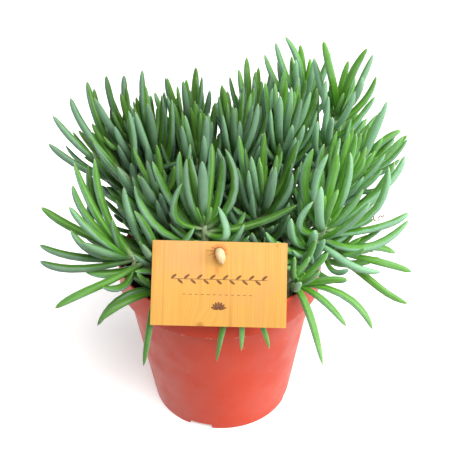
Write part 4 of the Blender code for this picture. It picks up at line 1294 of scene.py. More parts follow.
@dataclass
class Card:
    """The thin wooden card that leans over the front of the rim."""

    width: float = 81.5 * MM
    height: float = 51.0 * MM
    thickness: float = 1.3 * MM
    lean: float = math.radians(37.0)
    roll: float = math.radians(-2.2)
    centre: Vector = field(default_factory=lambda: Vector((-0.3, -65.0, 141.0)) * MM)
    hole_across: float = -0.5 * MM
    hole_up: float = 19.5 * MM
    hole_radius: float = 2.8 * MM
    hole_sides: int = 26
    hole_seed: int = 7
    edge_round: float = 0.16 * MM
    corner_round: float = 0.3 * MM
    columns: int = 16
    warp: float = 0.45 * MM
    cracks: tuple = ((178.0, 5.6), (203.0, 4.2), (232.0, 3.4), (262.0, 3.0), (300.0, 2.2),
                     (338.0, 3.0), (20.0, 1.8), (150.0, 2.6))
    crack_half: float = 0.62 * MM
    crack_depth: float = 0.22 * MM
    ornament_sink: float = 0.05 * MM
    ornament_rise: float = 0.07 * MM
    line_half: float = 0.16 * MM
    petal_sides: int = 10
    garland_row: float = 2.6 * MM
    garland_half: float = 29.0 * MM
    dashed_row: float = -6.6 * MM
    dashes: int = 24
    fan_row: float = -15.5 * MM

    def axes(self) -> tuple[np.ndarray, np.ndarray, np.ndarray]:
        """Across the card, up its face, and out of its face.

        Returns:
            The three directions.
        """
        across = np.array([1.0, 0.0, 0.0])
        up = np.array([0.0, math.sin(self.lean), math.cos(self.lean)])
        c, s = math.cos(self.roll), math.sin(self.roll)
        return c * across + s * up, c * up - s * across, np.cross(across, up)

    def near(self, points: np.ndarray, gaps: np.ndarray) -> bool:
        """Whether a leaf comes too near the card, in millimetres.

        Args:
            points: Points along the leaf.
            gaps: How clear each of them has to be.

        Returns:
            True where it is too near.
        """
        offset = points - np.array(self.centre) / MM
        place = np.abs(np.stack([offset @ axis for axis in self.axes()], axis=1))
        half = np.array([self.width, self.height, self.thickness]) / (2.0 * MM)
        return bool(np.any(np.linalg.norm(np.maximum(place - half, 0.0), axis=1) < gaps))

    def matrix(self) -> Matrix:
        """Place of the card: X across it, Y up its face, Z out of its face."""
        turn = Matrix([Vector(axis) for axis in self.axes()]).transposed().to_4x4()
        return Matrix.Translation(self.centre) @ turn

    def put_in_place(self, obj: Thing) -> None:
        """Store the flat plan for the grain, warp the shape and lean it in its place.

        Args:
            obj: The board or its ornament, flat at the origin.
        """
        flat = read_points(obj)
        write_marks(obj, "plan", *flat.T, 1.0)
        across, up = flat[:, 0] / (self.width / 2.0), flat[:, 1] / (self.height / 2.0)
        flat[:, 2] += self.warp * (0.5 * across ** 2 - 0.25 + 0.3 * across * up - 0.2 * up)
        write_points(obj, flat)
        settle(obj, self.matrix())

    def crack_wedges(self, torn: bpy.types.Material) -> Thing:
        """Wedges that open the torn cracks round the hole.

        Args:
            torn: The finish of the torn fibres.

        Returns:
            The wedges, joined.
        """
        face = self.thickness / 2.0
        wedges = []
        for turn, reach in self.cracks:
            end = self.hole_radius + reach * MM
            wedge = block("crack", (0.82 * self.hole_radius, -self.crack_half, face - self.crack_depth),
                          (end, self.crack_half, face + 0.6 * MM))
            begin_edit(wedge)
            pick(wedge, Element.FACES, lambda m: m.x > end - 0.05 * reach * MM)
            bpy.ops.transform.resize(value=(1.0, 0.08, 1.0), center_override=(end, 0.0, 0.0))
            pick(wedge, Element.FACES, lambda m: m.z < face - 0.9 * self.crack_depth)
            bpy.ops.transform.resize(value=(1.0, 0.3, 1.0), center_override=(0.0, 0.0, 0.0))
            end_edit()
            settle(wedge, Matrix.Translation((self.hole_across, self.hole_up, 0.0)) @ turned(turn))
            dress(wedge, torn)
            wedges.append(wedge)
        return join("cracks", wedges)

    def board(self) -> Thing:
        """The card with its rounded edges, its worn hole and the cracks round it.

        Returns:
            The board, flat at the origin.
        """
        half_w, half_h, half_t = self.width / 2.0, self.height / 2.0, self.thickness / 2.0
        board = block("card_fine", (-half_w, -half_h, -half_t), (half_w, half_h, half_t))
        begin_edit(board)
        pick(board, Element.EDGES, lambda m: abs(m.x) > 0.9 * half_w and abs(m.y) > 0.9 * half_h)
        bpy.ops.mesh.bevel(offset=self.corner_round, segments=3)
        pick(board, Element.EDGES, lambda m: abs(m.z) > 0.9 * half_t)
        bpy.ops.mesh.bevel(offset=self.edge_round, segments=2)
        for k in range(1, self.columns):
            bpy.ops.mesh.select_all(action="SELECT")
            place = -half_w + self.width * k / self.columns
            bpy.ops.mesh.bisect(plane_co=(place, 0.0, 0.0), plane_no=(1.0, 0.0, 0.0))
        end_edit()
        torn = RawWood("torn_fibre", (0.46, 0.16, 0.035), (0.28, 0.085, 0.018)).material()
        dress(board, CardVeneer((self.hole_across, self.hole_up)).material(), torn)
        hole = ring_stack("hole", [(self.hole_radius, -5.0 * MM), (self.hole_radius, 5.0 * MM)],
                          self.hole_sides)
        points = read_points(hole)
        ragged = 1.0 + 0.06 * np.random.default_rng(self.hole_seed).normal(size=self.hole_sides)
        points[:, :2] *= np.tile(ragged, 2)[:, None]
        write_points(hole, points)
        settle(hole, Matrix.Translation((self.hole_across, self.hole_up, 0.0)))
        dress(hole, torn)
        combine(board, hole, "DIFFERENCE")
        combine(board, self.crack_wedges(torn), "DIFFERENCE")
        return board

    @property
    def ornament_levels(self) -> Ring:
        """Where the flat ornament starts in the card and ends above its face."""
        face = self.thickness / 2.0
        return face - self.ornament_sink, face + self.ornament_rise

    def petal(self, half_x: float, half_y: float, place: Matrix) -> Thing:
        """One small flat oval of the ornament, on the card's face.

        Args:
            half_x: Half its width.
            half_y: Half its height.
            place: Where it belongs.

        Returns:
            The oval.
        """
        petal = ring_stack("petal", [(1.0, level) for level in self.ornament_levels], self.petal_sides)
        petal.data.transform(Matrix.Diagonal((half_x, half_y, 1.0, 1.0)))
        settle(petal, place)
        return petal

    def ornament(self) -> Thing:
        """A plain garland: a line with small leaves, a dashed line below it and a fan of petals.

        Returns:
            The ornament, flat at the origin.
        """
        low, high = self.ornament_levels
        line = self.line_half
        parts = []
        for row, half, step in ((self.garland_row, self.garland_half, 1),
                                (self.dashed_row, 0.75 * self.garland_half, 2)):
            ends = np.linspace(-half, half, self.dashes + 1)
            for start, end in list(zip(ends, ends[1:]))[::step]:
                parts.append(block("line", (start, row - line, low), (end, row + line, high)))
        for k in range(-7, 8):
            side = 1.0 if k % 2 else -1.0
            place = Matrix.Translation((k * 3.9 * MM, self.garland_row + side * 1.5 * MM, 0.0))
            parts.append(self.petal(2.1 * MM, 0.75 * MM, place @ turned(38.0 * side)))
        for k in range(-3, 4):
            place = Matrix.Translation((0.0, self.fan_row, 0.0)) @ turned(24.0 * k)
            parts.append(self.petal(0.8 * MM, 2.3 * MM, place @ Matrix.Translation((0.0, 2.6 * MM, 0.0))))
        return join("card_ornament", parts)

    def build(self) -> None:
        """Model the card and its ornament and dress them."""
        board = self.board()
        self.put_in_place(board)
        smooth(board, 30.0)
        hand_over(board, Slot.CARD, "label_card")
        ornament = self.ornament()
        dress(ornament, RawWood("burnt_line", (0.22, 0.09, 0.03), (0.13, 0.05, 0.018)).material())
        self.put_in_place(ornament)
        hand_over(ornament, Slot.CARD)


@dataclass
class Peg:
    """The pale peg that holds the card: up from the soil, through the hole, bent over the face."""

    card: Card
    soil: Soil
    radius: float = 2.2 * MM
    foot: Vector = field(default_factory=lambda: Vector((-1.5, -37.5, 94.0)) * MM)
    sides: int = 16
    rings: int = 48
    behind: tuple = ((-1.4, -39.5, 130.0), (-1.2, -44.5, 143.0))
    along_card: tuple = (
        ((0.0, 0.0, -5.0), 1.0), ((0.0, 0.0, -2.0), 1.0), ((0.0, 0.0, 1.8), 1.0),
        ((0.3, -0.5, 4.2), 1.25), ((0.9, -2.7, 5.2), 1.35), ((1.6, -5.6, 4.8), 1.1),
        ((2.2, -8.0, 3.9), 0.7),
    )

    def route(self) -> tuple[list[Vector], list[float]]:
        """Centre-line and radii of the peg.

        Returns:
            Points and radii, in metres.
        """
        hole = Vector((self.card.hole_across, self.card.hole_up, 0.0))
        place = self.card.matrix()
        points = [self.foot, Vector((self.foot.x, self.foot.y, self.soil.level))]
        points += [Vector(point) * MM for point in self.behind]
        points += [place @ (hole + Vector(offset) * MM) for offset, _ in self.along_card]
        return points, [self.radius] * 4 + [self.radius * swell for _, swell in self.along_card]

    def build(self) -> None:
        """Model the peg and dress it."""
        heights = [0.0, 0.004, *np.linspace(0.01, 0.985, self.rings), 0.993, 0.998, 1.0]
        peg = ring_stack("peg_fine", [(1.0, h) for h in heights], self.sides, pointed=True)
        rows = np.array([[*point, radius] for point, radius in zip(*self.route())]) / MM
        along = read_points(peg)[:, 2]
        places, heads = along_route(rows, along)
        dome = np.sqrt(np.clip((1.0 - along) / 0.035, 0.0, 1.0))
        lay_along(peg, places[:, :3], *square_to(heads, (0.3, 0.0, 1.0)), places[:, 3] * dome)
        begin_edit(peg)
        end_edit()
        smooth(peg)
        dress(peg, RawWood("peg_wood_fine", (0.80, 0.64, 0.42), (0.66, 0.38, 0.15), 0.5).material())
        hand_over(peg, Slot.PEG, "label_peg")


@dataclass
class Crowd:
    """Spheres along all that has been placed, which keep each new leaf clear."""

    blocked: Callable[[np.ndarray, np.ndarray], bool]
    sample: Callable[[int, tuple, float], Samples]
    clearance: float
    mate_share: float
    tries: int
    looked_at: float = 48.0
    widest: float = math.inf
    points: np.ndarray = field(default_factory=lambda: np.zeros((0, 3)))
    radii: np.ndarray = field(default_factory=lambda: np.zeros(0))
    along: np.ndarray = field(default_factory=lambda: np.zeros(0))
    owner: np.ndarray = field(default_factory=lambda: np.zeros(0, int))

    def add(self, points: np.ndarray, radii: np.ndarray, along: np.ndarray, owner: int) -> None:
        """Put one stem or leaf in the crowd.

        Args:
            points: Points along it.
            radii: Its radius at each.
            along: Its share at each.
            owner: Number of its shoot.
        """
        self.points = np.vstack([self.points, points])
        self.radii = np.concatenate([self.radii, radii])
        self.along = np.concatenate([self.along, along])
        self.owner = np.concatenate([self.owner, np.full(len(points), owner)])

    def blocks(self, points: np.ndarray, radii: np.ndarray, along: np.ndarray, owner: int) -> bool:
        """Whether a leaf comes too near another shoot or, past its root, its own mates.

        Args:
            points: Points along the leaf.
            radii: Its radius at each.
            along: Its share at each.
            owner: Number of its shoot.

        Returns:
            True where it is too near.
        """
        gaps = radii + self.clearance
        if np.hypot(*points[-1, :2]) >= self.widest or self.blocked(points, gaps):
            return True
        near = np.linalg.norm(self.points - points[len(points) // 2], axis=1) < self.looked_at
        apart = np.linalg.norm(points[:, None, :] - self.points[None, near, :], axis=2)
        need = gaps[:, None] + self.radii[None, near]
        other = self.owner[near] != owner
        if np.any(apart[:, other] < need[:, other]):
            return True
        pairs = np.ix_(along > 0.3, ~other & (self.along[near] > 0.3))
        return bool(np.any(apart[pairs] < self.mate_share * need[pairs]))


@dataclass
class Growth:
    """The seeded rule that places the stems and leaves as in the solids, and more leaves between them."""

    pot: Pot
    soil: Soil
    card: Card
    peg: Peg
    seed: int = 1889
    golden_angle: float = 137.508
    stem_points: int = 25
    stem_foot_radius: float = 3.0
    stem_tip_radius: float = 1.9
    leaf_width: float = 6.8
    young_width: float = 4.9
    rings: tuple = (0.0, 0.31, 0.79, 1.0)
    bent_rings: tuple = (0.0, 0.24, 0.53, 0.82, 1.0)
    strong_bend: float = 62.0
    upward: float = 0.45
    swell: float = 1.12
    clearance: float = 0.6
    mate_share: float = 0.84
    samples: int = 16
    root_samples: int = 3
    tries: int = 34
    fine_share: float = 0.80
    front_share: float = 0.91
    between_share: float = 0.8
    between_width: float = 6.2
    most_strays: int = 6
    between_clearance: float = 0.15
    between_mate_share: float = 0.72
    between_tries: int = 26
    least_reach: float = 42.0
    low_leaves: int = 18
    low_least_height: float = 138.0
    low_reach: float = 78.0

    def stem_line(self, shoot: Shoot) -> np.ndarray:
        """Centre-line of a stem, upright out of the soil and along its axis at the tip.

        Args:
            shoot: The stem's row of the table.

        Returns:
            Points in rows.
        """
        foot = np.array([*shoot.root, self.soil.top / MM])
        tip = np.array(shoot.crown, float)
        reach = np.linalg.norm(tip - foot)
        lead = tip - 0.42 * reach * unit(shoot.axis)
        return bezier((foot, foot + 0.38 * reach * UP, lead, tip), np.linspace(0.0, 1.0, self.stem_points))

    def stem_radius(self, share: np.ndarray) -> np.ndarray:
        """Radius of a stem at a share of its way up."""
        return self.stem_foot_radius + (self.stem_tip_radius - self.stem_foot_radius) * share

    def fullness(self, t: np.ndarray) -> np.ndarray:
        """Half thickness of a leaf's solid as a share of its greatest."""
        return np.interp(t, (0.0, 0.12, 0.3, 0.5, 0.74, 0.88, 0.97, 1.0),
                         (0.38, 0.66, 0.93, 1.0, 0.92, 0.70, 0.30, 0.0))

    def solid_samples(self, _: int, controls: tuple, width: float) -> Samples:
        """Points and radii along the straight stretches between a solid leaf's rings.

        Args:
            _: Number of its shoot, which isn't needed.
            controls: The leaf's control points.
            width: Its width.

        Returns:
            Points, radii and shares.
        """
        root, elbow, tip = controls
        cosine = float(np.clip(np.dot(unit(elbow - root), unit(tip - elbow)), -1.0, 1.0))
        stations = self.bent_rings if math.degrees(math.acos(cosine)) > self.strong_bend else self.rings
        t = np.linspace(0.0, 1.0, self.samples)
        rings = bezier(controls, stations)
        points = np.stack([np.interp(t, stations, column) for column in rings.T], axis=1)
        return points, self.fullness(t) * self.swell * width / 2.0, t

    def fine_half(self, owner: int, width: float) -> float:
        """Half width of a fine leaf: the stems with many listed leaves have fuller leaves."""
        share = self.front_share if len(SHOOTS[owner].strays) > self.most_strays else self.fine_share
        return share * width / 2.0

    def fine_samples(self, owner: int, controls: tuple, width: float) -> Samples:
        """Points and radii along a fine leaf."""
        t = np.linspace(0.0, 1.0, self.samples)
        return bezier(controls, t), self.fullness(t) * self.fine_half(owner, width), t

    def stray_leaf(self, _: Shoot, line: np.ndarray, row: Stray, attempt: int,
                   draw: np.random.Generator) -> tuple[tuple, float]:
        """Curve and width of a listed leaf, nudged a little more at each new attempt.

        Args:
            _: Its shoot, which isn't needed.
            line: Its stem's line, from the soil to the tip.
            row: Its row of the table.
            attempt: How many attempts failed.
            draw: The leaf's own series of draws.

        Returns:
            Its control points and its width, in millimetres.
        """
        nudge = draw.normal(0.0, 0.7 * attempt, 4)
        start = heading_vector(row.heading_root + nudge[0], row.rise_root + nudge[1])
        end = heading_vector(row.heading_tip + nudge[2], row.rise_tip + nudge[3])
        width = self.leaf_width * min(1.0, 0.68 + row.reach / 170.0)
        return leaf_controls(point_below(line, row.below)[0], start, end, row.reach), width

    def hung_leaf(self, _: Shoot, line: np.ndarray, row: Hung, attempt: int,
                  draw: np.random.Generator) -> tuple[tuple, float]:
        """Curve and width of a leaf whose elbow and tip are given, nudged more at each new attempt.

        Args:
            _: Its shoot, which isn't needed.
            line: Its stem's line, from the soil to the tip.
            row: Its row of the table.
            attempt: How many attempts failed.
            draw: The leaf's own series of draws.

        Returns:
            Its control points and its width, in millimetres.
        """
        nudge = draw.normal(0.0, 0.25 * attempt, 3)
        return (point_below(line, row.below)[0], row.elbow + nudge, row.point + nudge), row.width

    def whorl_leaf(self, root: np.ndarray, radial: np.ndarray, axis: np.ndarray, spread: float,
                   shoot: Shoot, reach: float, upward: float) -> tuple:
        """Curve of a leaf that leaves its stem's axis by a spread and curls back towards it.

        Args:
            root: Point of the stem's axis where it grows.
            radial: Its direction away from the axis.
            axis: Direction of growth of the stem there.
            spread: Angle from the axis at its root, in radians.
            shoot: Its shoot, whose curl is the share of the spread that is left at its tip.
            reach: Its length.
            upward: How much it turns up at its tip.

        Returns:
            Its control points.
        """
        end = unit(leaning(axis, radial, spread * shoot.curl) + upward * UP)
        return leaf_controls(root + 0.8 * radial, leaning(axis, radial, spread), end, reach)

    def ruled_leaf(self, shoot: Shoot, line: np.ndarray, number: int, attempt: int,
                   draw: np.random.Generator) -> tuple[tuple, float]:
        """Curve and width of a leaf placed by the spiral rule, nudged more at each new attempt.

        Args:
            shoot: Its shoot.
            line: Its stem's line, from the soil to the tip.
            number: Its number in the spiral.
            attempt: How many attempts failed.
            draw: The leaf's own series of draws.

        Returns:
            Its control points and its width, in millimetres.
        """
        age = number / max(shoot.leaves - 1, 1)
        root, axis = point_below(line, 1.0 + shoot.leafy * age ** 1.15)
        turn = shoot.turn + self.golden_angle * number + draw.normal(0.0, 3.0 + 2.2 * attempt)
        inner, outer = shoot.spread
        spread = np.interp(age, (0.0, 0.25, 1.0), (inner, 0.62 * inner + 0.38 * outer, outer))
        spread = math.radians(max(spread + draw.normal(0.0, 3.0 + 1.2 * attempt), 8.0))
        reach = shoot.reach * np.interp(age, (0.0, 0.3, 0.8, 1.0), (0.66, 1.0, 1.0, 0.86))
        reach *= (1.0 + draw.normal(0.0, 0.05)) * (1.0 - 0.01 * attempt)
        width = min(self.leaf_width, self.young_width + 5.0 * age) * min(1.0, 0.72 + reach / 170.0)
        radial = around(axis, math.radians(turn))
        return self.whorl_leaf(root, radial, axis, spread, shoot, reach, self.upward), width

    def between_leaf(self, shoot: Shoot, line: np.ndarray, item: Ring, attempt: int,
                     draw: np.random.Generator) -> tuple[tuple, float]:
        """Curve and width of one more leaf, in a gap of the spiral: its number and its age are given.

        Args:
            shoot: Its shoot.
            line: Its stem's line, from the soil to the tip.
            item: Its number in the spiral and its age.
            attempt: How many attempts failed.
            draw: The leaf's own series of draws.

        Returns:
            Its control points and its width, in millimetres.
        """
        number, age = item
        wide = 2.5 + 2.0 * attempt
        root, axis = point_below(line, 0.5 + min(shoot.leafy, 34.0) * age ** 1.1)
        turn = shoot.turn + self.golden_angle * number + draw.normal(0.0, 6.0 + wide)
        inner, outer = shoot.spread
        spread = inner + (0.85 * outer - inner) * age ** 0.8 + draw.normal(0.0, wide)
        reach = shoot.reach * np.interp(age, (0.0, 0.25, 0.8, 1.0), (0.55, 0.88, 0.94, 0.84))
        reach *= (1.0 + draw.normal(0.0, 0.05)) * (1.0 - 0.012 * attempt)
        width = self.between_width * (0.80 + 0.2 * age) * draw.uniform(0.9, 1.05)
        radial = around(axis, math.radians(turn))
        return self.whorl_leaf(root, radial, axis, math.radians(max(spread, 6.0)), shoot, reach,
                               2.0 * self.upward), width

    def low_leaf(self, _: Shoot, line: np.ndarray, share: float, attempt: int,
                 draw: np.random.Generator) -> tuple[tuple, float]:
        """Curve and width of an old leaf low on a stem, in the shade: share is its place downwards.

        Args:
            _: Its shoot, which isn't needed.
            line: Its stem's line, from the soil to the tip.
            share: How far down it grows, from 0 to 1.
            attempt: How many attempts failed.
            draw: The leaf's own series of draws.

        Returns:
            Its control points and its width, in millimetres.
        """
        length = np.linalg.norm(line[-1] - line[0])
        root = point_below(line, 22.0 + share * max(length - 36.0, 0.0))[0]
        start = heading_vector(draw.uniform(0.0, 360.0), draw.uniform(10.0, 50.0))
        end = unit(start + draw.uniform(0.3, 1.6) * UP)
        reach = draw.uniform(30.0, 46.0) - 0.6 * attempt
        return leaf_controls(root, start, end, reach), self.between_width * draw.uniform(0.78, 0.98)

    def blocked(self, points: np.ndarray, gaps: np.ndarray) -> bool:
        """Whether a leaf comes too near the card, the pot, the soil or the ground."""
        return (self.card.near(points, gaps)
                or self.pot.near(points, gaps, self.soil.top, self.root_samples))

    def fill(self, crowd: Crowd, lines: list[np.ndarray]) -> None:
        """Put the peg and the stems in a crowd.

        Args:
            crowd: The crowd.
            lines: The stems' lines.
        """
        route = self.peg.route()[0]
        points = np.array([np.array(a.lerp(b, share)) / MM for a, b in zip(route, route[1:])
                           for share in (0.0, 0.25, 0.5, 0.75)])
        along = np.zeros(len(points))
        crowd.add(points, along + self.peg.radius / MM, along, -1)
        for owner, line in enumerate(lines):
            share = np.linspace(0.0, 1.0, len(line))
            crowd.add(line, self.stem_radius(share), 0.0 * share, owner)

    def place(self, crowd: Crowd, lines: list[np.ndarray], wanted: Sequence[tuple]) -> list[Leaf]:
        """Place leaves one after another, each at its first attempt that is clear of all before it.

        Args:
            crowd: All that has been placed.
            lines: The stems' lines.
            wanted: For each leaf the rule that makes it, its shoot's number, what the rule needs, the
                number of its own series of draws, and its age from 0 to 1.

        Returns:
            The leaves, without those for which no attempt is clear.
        """
        placed = []
        for make, owner, item, key, age in wanted:
            draw = np.random.default_rng([self.seed, owner, key])
            for attempt in range(crowd.tries):
                controls, width = make(SHOOTS[owner], lines[owner], item, attempt, draw)
                samples = crowd.sample(owner, controls, width)
                if not crowd.blocks(*samples, owner):
                    crowd.add(*samples, owner)
                    placed.append(Leaf(owner, width, controls, age))
                    break
        return placed

    def grow(self, lines: list[np.ndarray]) -> list[Leaf]:
        """The leaves of the solids: those listed first, then youngest first.

        Args:
            lines: The stems' lines.

        Returns:
            The leaves.
        """
        crowd = Crowd(self.blocked, self.solid_samples, self.clearance, self.mate_share, self.tries)
        self.fill(crowd, lines)
        makers = {Hung: self.hung_leaf, Stray: self.stray_leaf}
        wanted = [(makers[type(row)], owner, row, 500 + k, 0.8)
                  for owner, shoot in enumerate(SHOOTS) for k, row in enumerate(shoot.strays)]
        wanted += [(self.ruled_leaf, owner, number, number, number / max(shoot.leaves - 1, 1))
                   for number in range(max(shoot.leaves for shoot in SHOOTS))
                   for owner, shoot in enumerate(SHOOTS) if number < shoot.leaves]
        return self.place(crowd, lines, wanted)

    def fill_gaps(self, lines: list[np.ndarray], leaves: list[Leaf]) -> list[Leaf]:
        """More leaves, which the solids leave out, wherever the slimmer fine leaves leave room.

        Args:
            lines: The stems' lines.
            leaves: The leaves of the solids.

        Returns:
            The added leaves.
        """
        crowd = Crowd(self.blocked, self.fine_samples, self.between_clearance, self.between_mate_share,
                      self.between_tries)
        self.fill(crowd, lines)
        for leaf in leaves:
            crowd.add(*self.fine_samples(leaf.shoot, leaf.controls, leaf.width), leaf.shoot)
        counts = [round(self.between_share * shoot.leaves)
                  if len(shoot.strays) <= self.most_strays and shoot.reach >= self.least_reach else 0
                  for shoot in SHOOTS]
        between = [(self.between_leaf, owner, (k + 0.5, (k + 0.5) / count), 1000 + k, (k + 0.5) / count)
                   for k in range(max(counts)) for owner, count in enumerate(counts) if k < count]
        low = [(self.low_leaf, owner, k / self.low_leaves, 2000 + k, 1.0) for k in range(self.low_leaves)
               for owner, line in enumerate(lines) if line[-1, 2] >= self.low_least_height]
        more = self.place(crowd, lines, between)
        crowd.widest = self.low_reach
        return more + self.place(crowd, lines, low)


@dataclass
class Plant:
    """The leafy stems: fine leaves and stems on the curves that the rule gives."""

    growth: Growth
    leaf_sides: int = 10
    leaf_rings: tuple = ((0.48, 0.0), (0.64, 0.08), (0.79, 0.18), (0.91, 0.30), (0.99, 0.45),
                         (1.0, 0.60), (0.96, 0.72), (0.87, 0.82), (0.71, 0.895), (0.46, 0.955),
                         (0.18, 0.985), (0.02, 1.0))
    flatness: float = 0.84
    groove: float = 0.86
    keel: float = 1.10
    fine_swell: float = 1.03
    twist: float = math.radians(25.0)
    wobble: float = 0.8
    width_spread: Ring = (0.90, 1.08)
    stem_sides: int = 10
    stem_rings: int = 16
    foot_gap: float = 0.6
    buds: int = 5
    # Share of a leaf's tone that is drawn at random; the rest is painted light by the leaf's place.
    tone_spread: float = 0.4
    seed: int = 77
    skin: LeafSkin = LeafSkin()
    bark: StemSkin = StemSkin()

    def leaf_pattern(self) -> Thing:
        """One straight leaf, a unit long: plump rings, a flatter upper side and a shallow groove.

        Returns:
            The leaf.
        """
        leaf = ring_stack("leaf_pattern", self.leaf_rings, self.leaf_sides, pointed=True)
        begin_edit(leaf)
        middle = (0.0, 0.0, 0.5)
        bpy.ops.transform.resize(value=(self.flatness, 1.0, 1.0), center_override=middle)
        for side, share in ((1.0, self.groove), (-1.0, self.keel)):
            pick(leaf, Element.POINTS,
                 lambda m: side * m.x > 0.0 and abs(m.y) < 0.05 and 0.05 < m.z < 0.95)
            bpy.ops.transform.resize(value=(share, 1.0, 1.0), center_override=middle)
        end_edit()
        smooth(leaf)
        return leaf

    def stem_pattern(self) -> Thing:
        """One straight stem, a unit long and a unit in radius, round at its tip.

        Returns:
            The stem.
        """
        rings = [(1.0, h) for h in np.linspace(0.0, 0.97, self.stem_rings)] + [(0.7, 0.99), (0.05, 1.0)]
        stem = ring_stack("stem_pattern", rings, self.stem_sides, pointed=True)
        smooth(stem)
        return stem

    def lay_leaf(self, pattern: Thing, leaf: Leaf, draw: np.random.Generator,
                 skin: bpy.types.Material) -> Thing:
        """A copy of the pattern leaf, bent along its curve.

        Args:
            pattern: The straight leaf.
            leaf: Its width, curve and age.
            draw: Draws of the plant's own looks.
            skin: Its material.

        Returns:
            The leaf in its place.
        """
        piece = copy_of(pattern)
        shape = read_points(piece)
        t = shape[:, 2]
        root, elbow, tip = (np.asarray(p, float) for p in leaf.controls)
        heads = 2.0 * ((1.0 - t)[:, None] * (elbow - root) + t[:, None] * (tip - elbow))
        heads /= np.linalg.norm(heads, axis=1, keepdims=True)
        across = np.cross(elbow - root, tip - elbow)
        if np.linalg.norm(across) < 0.02 * np.linalg.norm(elbow - root) * np.linalg.norm(tip - elbow):
            across = np.cross(tip - root, (0.1, 0.2, 1.0))
        across = unit(across)
        inner = np.cross(across, heads)
        if np.sum(inner.mean(axis=0) * (UP - 0.5 * unit(tip - root))) < 0.0:
            across, inner = -across, -inner
        turn = draw.uniform(-self.twist, self.twist) + 0.6 * self.twist * (t - 0.5) * draw.normal()
        cos, sin = np.cos(turn)[:, None], np.sin(turn)[:, None]
        sway = self.wobble * np.sin(np.pi * t * draw.uniform(1.0, 2.2))
        centre = bezier((root, elbow, tip), t) + np.outer(0.6 * sway * draw.normal(), across)
        centre += (0.5 * sway * draw.normal())[:, None] * inner
        plump = 1.0 + 0.05 * np.sin(2.0 * np.pi * (t * draw.uniform(0.6, 1.6) + draw.random()))
        half = self.growth.fine_half(leaf.shoot, leaf.width) * plump * draw.uniform(*self.width_spread)
        lay_along(piece, centre, cos * inner + sin * across, cos * across - sin * inner, half)
        # Painted light: leaves further right and further forward get a higher tone, which the skin shows
        # as lighter, standing in for the light that falls there more; the rest of the tone is drawn at
        # random.
        painted_light_by_place = np.interp(root[0], (-80.0, -20.0, 20.0, 70.0), (0.0, 0.25, 0.35, 1.0))
        painted_light_by_place += np.interp(root[1], (-50.0, -10.0), (0.28, 0.0))
        tone_and_painted_light = self.tone_spread * draw.random() + (1.0 - self.tone_spread) * painted_light_by_place
        radius = np.hypot(shape[:, 0], shape[:, 1])
        side = np.where(radius > 0.02, shape[:, 0] / np.maximum(radius, 1e-6), 0.0)
        write_marks(piece, "leaf", t, 0.5 + 0.5 * side, tone_and_painted_light, leaf.age)
        dress(piece, skin)
        return piece

    def lay_stem(self, pattern: Thing, shoot: Shoot, line: np.ndarray, draw: np.random.Generator,
                 bark: bpy.types.Material) -> Thing:
        """A copy of the pattern stem along its line, a little thicker at each old leaf base.

        Args:
            pattern: The straight stem.
            shoot: Its row of the table.
            line: The stem's line.
            draw: Draws of the plant's own looks.
            bark: Its material.

        Returns:
            The stem in its place.
        """
        piece = copy_of(pattern)
        soil = self.growth.soil
        foot = np.array([*shoot.root, (soil.level - soil.hole_depth) / MM + self.foot_gap])
        t = read_points(piece)[:, 2]
        places, heads = along_route(np.vstack([foot, line]), t)
        above = np.clip((places[:, 2] - line[0, 2]) / (line[-1, 2] - line[0, 2]), 0.0, 1.0)
        knots = 1.0 + 0.07 * np.sin(2.0 * np.pi * (t * 7.0 + draw.random()))
        half = self.fine_swell * self.growth.stem_radius(above) * knots
        lay_along(piece, places, *square_to(heads, BESIDE), half)
        write_marks(piece, "leaf", above, 0.0, draw.random(), above)
        dress(piece, bark)
        return piece

    def bud_leaves(self, owner: int, line: np.ndarray, draw: np.random.Generator) -> list[Leaf]:
        """Tiny young leaves in the middle of a crown.

        Args:
            owner: Number of the shoot.
            line: Its stem's line.
            draw: Draws of the plant's own looks.

        Returns:
            The leaves.
        """
        tip, axis = line[-1], unit(line[-1] - line[-2])
        leaves = []
        for k in range(self.buds):
            radial = around(axis, math.radians(SHOOTS[owner].turn + 70.0 + 137.5 * k))
            lean = math.radians(10.0 + 5.0 * k)
            reach = 8.0 + 3.2 * k + draw.uniform(-1.0, 1.0)
            controls = leaf_controls(tip - axis + 0.6 * radial, leaning(axis, radial, lean),
                                     leaning(axis, radial, 0.4 * lean), reach)
            leaves.append(Leaf(owner, 2.6 + 0.35 * k, controls, 0.0))
        return leaves

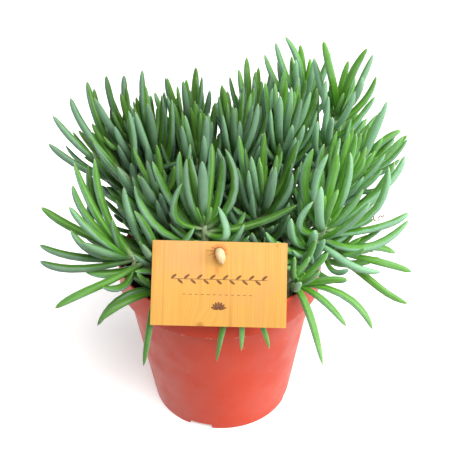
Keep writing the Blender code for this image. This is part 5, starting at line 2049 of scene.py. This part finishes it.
    def build(self) -> None:
        """Model every shoot and dress it."""
        lines = [self.growth.stem_line(shoot) for shoot in SHOOTS]
        leaves = self.growth.grow(lines)
        more = self.growth.fill_gaps(lines, leaves)
        log.info("%d leaves of the solids, %d between them", len(leaves), len(more))
        leaf_pattern, stem_pattern = self.leaf_pattern(), self.stem_pattern()
        skin, bark = self.skin.material(), self.bark.material()
        for owner, shoot in enumerate(SHOOTS):
            draw = np.random.default_rng([self.seed, owner])
            own = [leaf for leaf in leaves + more if leaf.shoot == owner]
            own += self.bud_leaves(owner, lines[owner], draw)
            parts = [self.lay_leaf(leaf_pattern, leaf, draw, skin) for leaf in own]
            parts.append(self.lay_stem(stem_pattern, shoot, lines[owner], draw, bark))
            hand_over(join(f"fine_shoot_{shoot.name}", parts), Slot.LEAF, f"shoot_{shoot.name}")
        for pattern in (leaf_pattern, stem_pattern):
            bpy.data.objects.remove(pattern, do_unlink=True)


@dataclass
class DriedFlower:
    """The withered threads that cling under a leaf at the right of the front."""

    radius: float = 0.36
    sides: int = 6
    rings: int = 8
    threads: tuple = (
        ((95.5, -34.0, 169.2), (95.5, -36.5, 166.8), (98.6, -36.5, 166.2), (98.4, -35.6, 168.2)),
        ((98.4, -35.6, 168.2), (99.3, -36.0, 169.8), (100.6, -36.0, 168.4), (101.2, -36.0, 170.0)),
    )

    def build(self) -> None:
        """Model the threads and dress them."""
        parts = []
        for route in self.threads:
            heights = np.linspace(0.0, 1.0, self.rings)
            thread = ring_stack("thread", [(1.0, height) for height in heights], self.sides)
            places, heads = along_route(np.array(route), read_points(thread)[:, 2])
            lay_along(thread, places, *square_to(heads, UP), self.radius)
            parts.append(thread)
        flower = join("dried_flower", parts)
        dress(flower, RawWood("withered_thread", (0.30, 0.11, 0.07), (0.15, 0.055, 0.04)).material())
        hand_over(flower, Slot.LEAF)


def main() -> None:
    """Build every piece in order, and note each piece's size."""
    logging.basicConfig(level=logging.INFO, format="%(name)s: %(message)s")
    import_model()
    pot = Pot()
    soil = Soil(pot)
    card = Card()
    peg = Peg(card, soil)
    for assembly in (Studio(), pot, soil, card, peg, Plant(Growth(pot, soil, card, peg)), DriedFlower()):
        assembly.build()
        log.info("%s done", type(assembly).__name__)


if __name__ == "__main__":
    main()
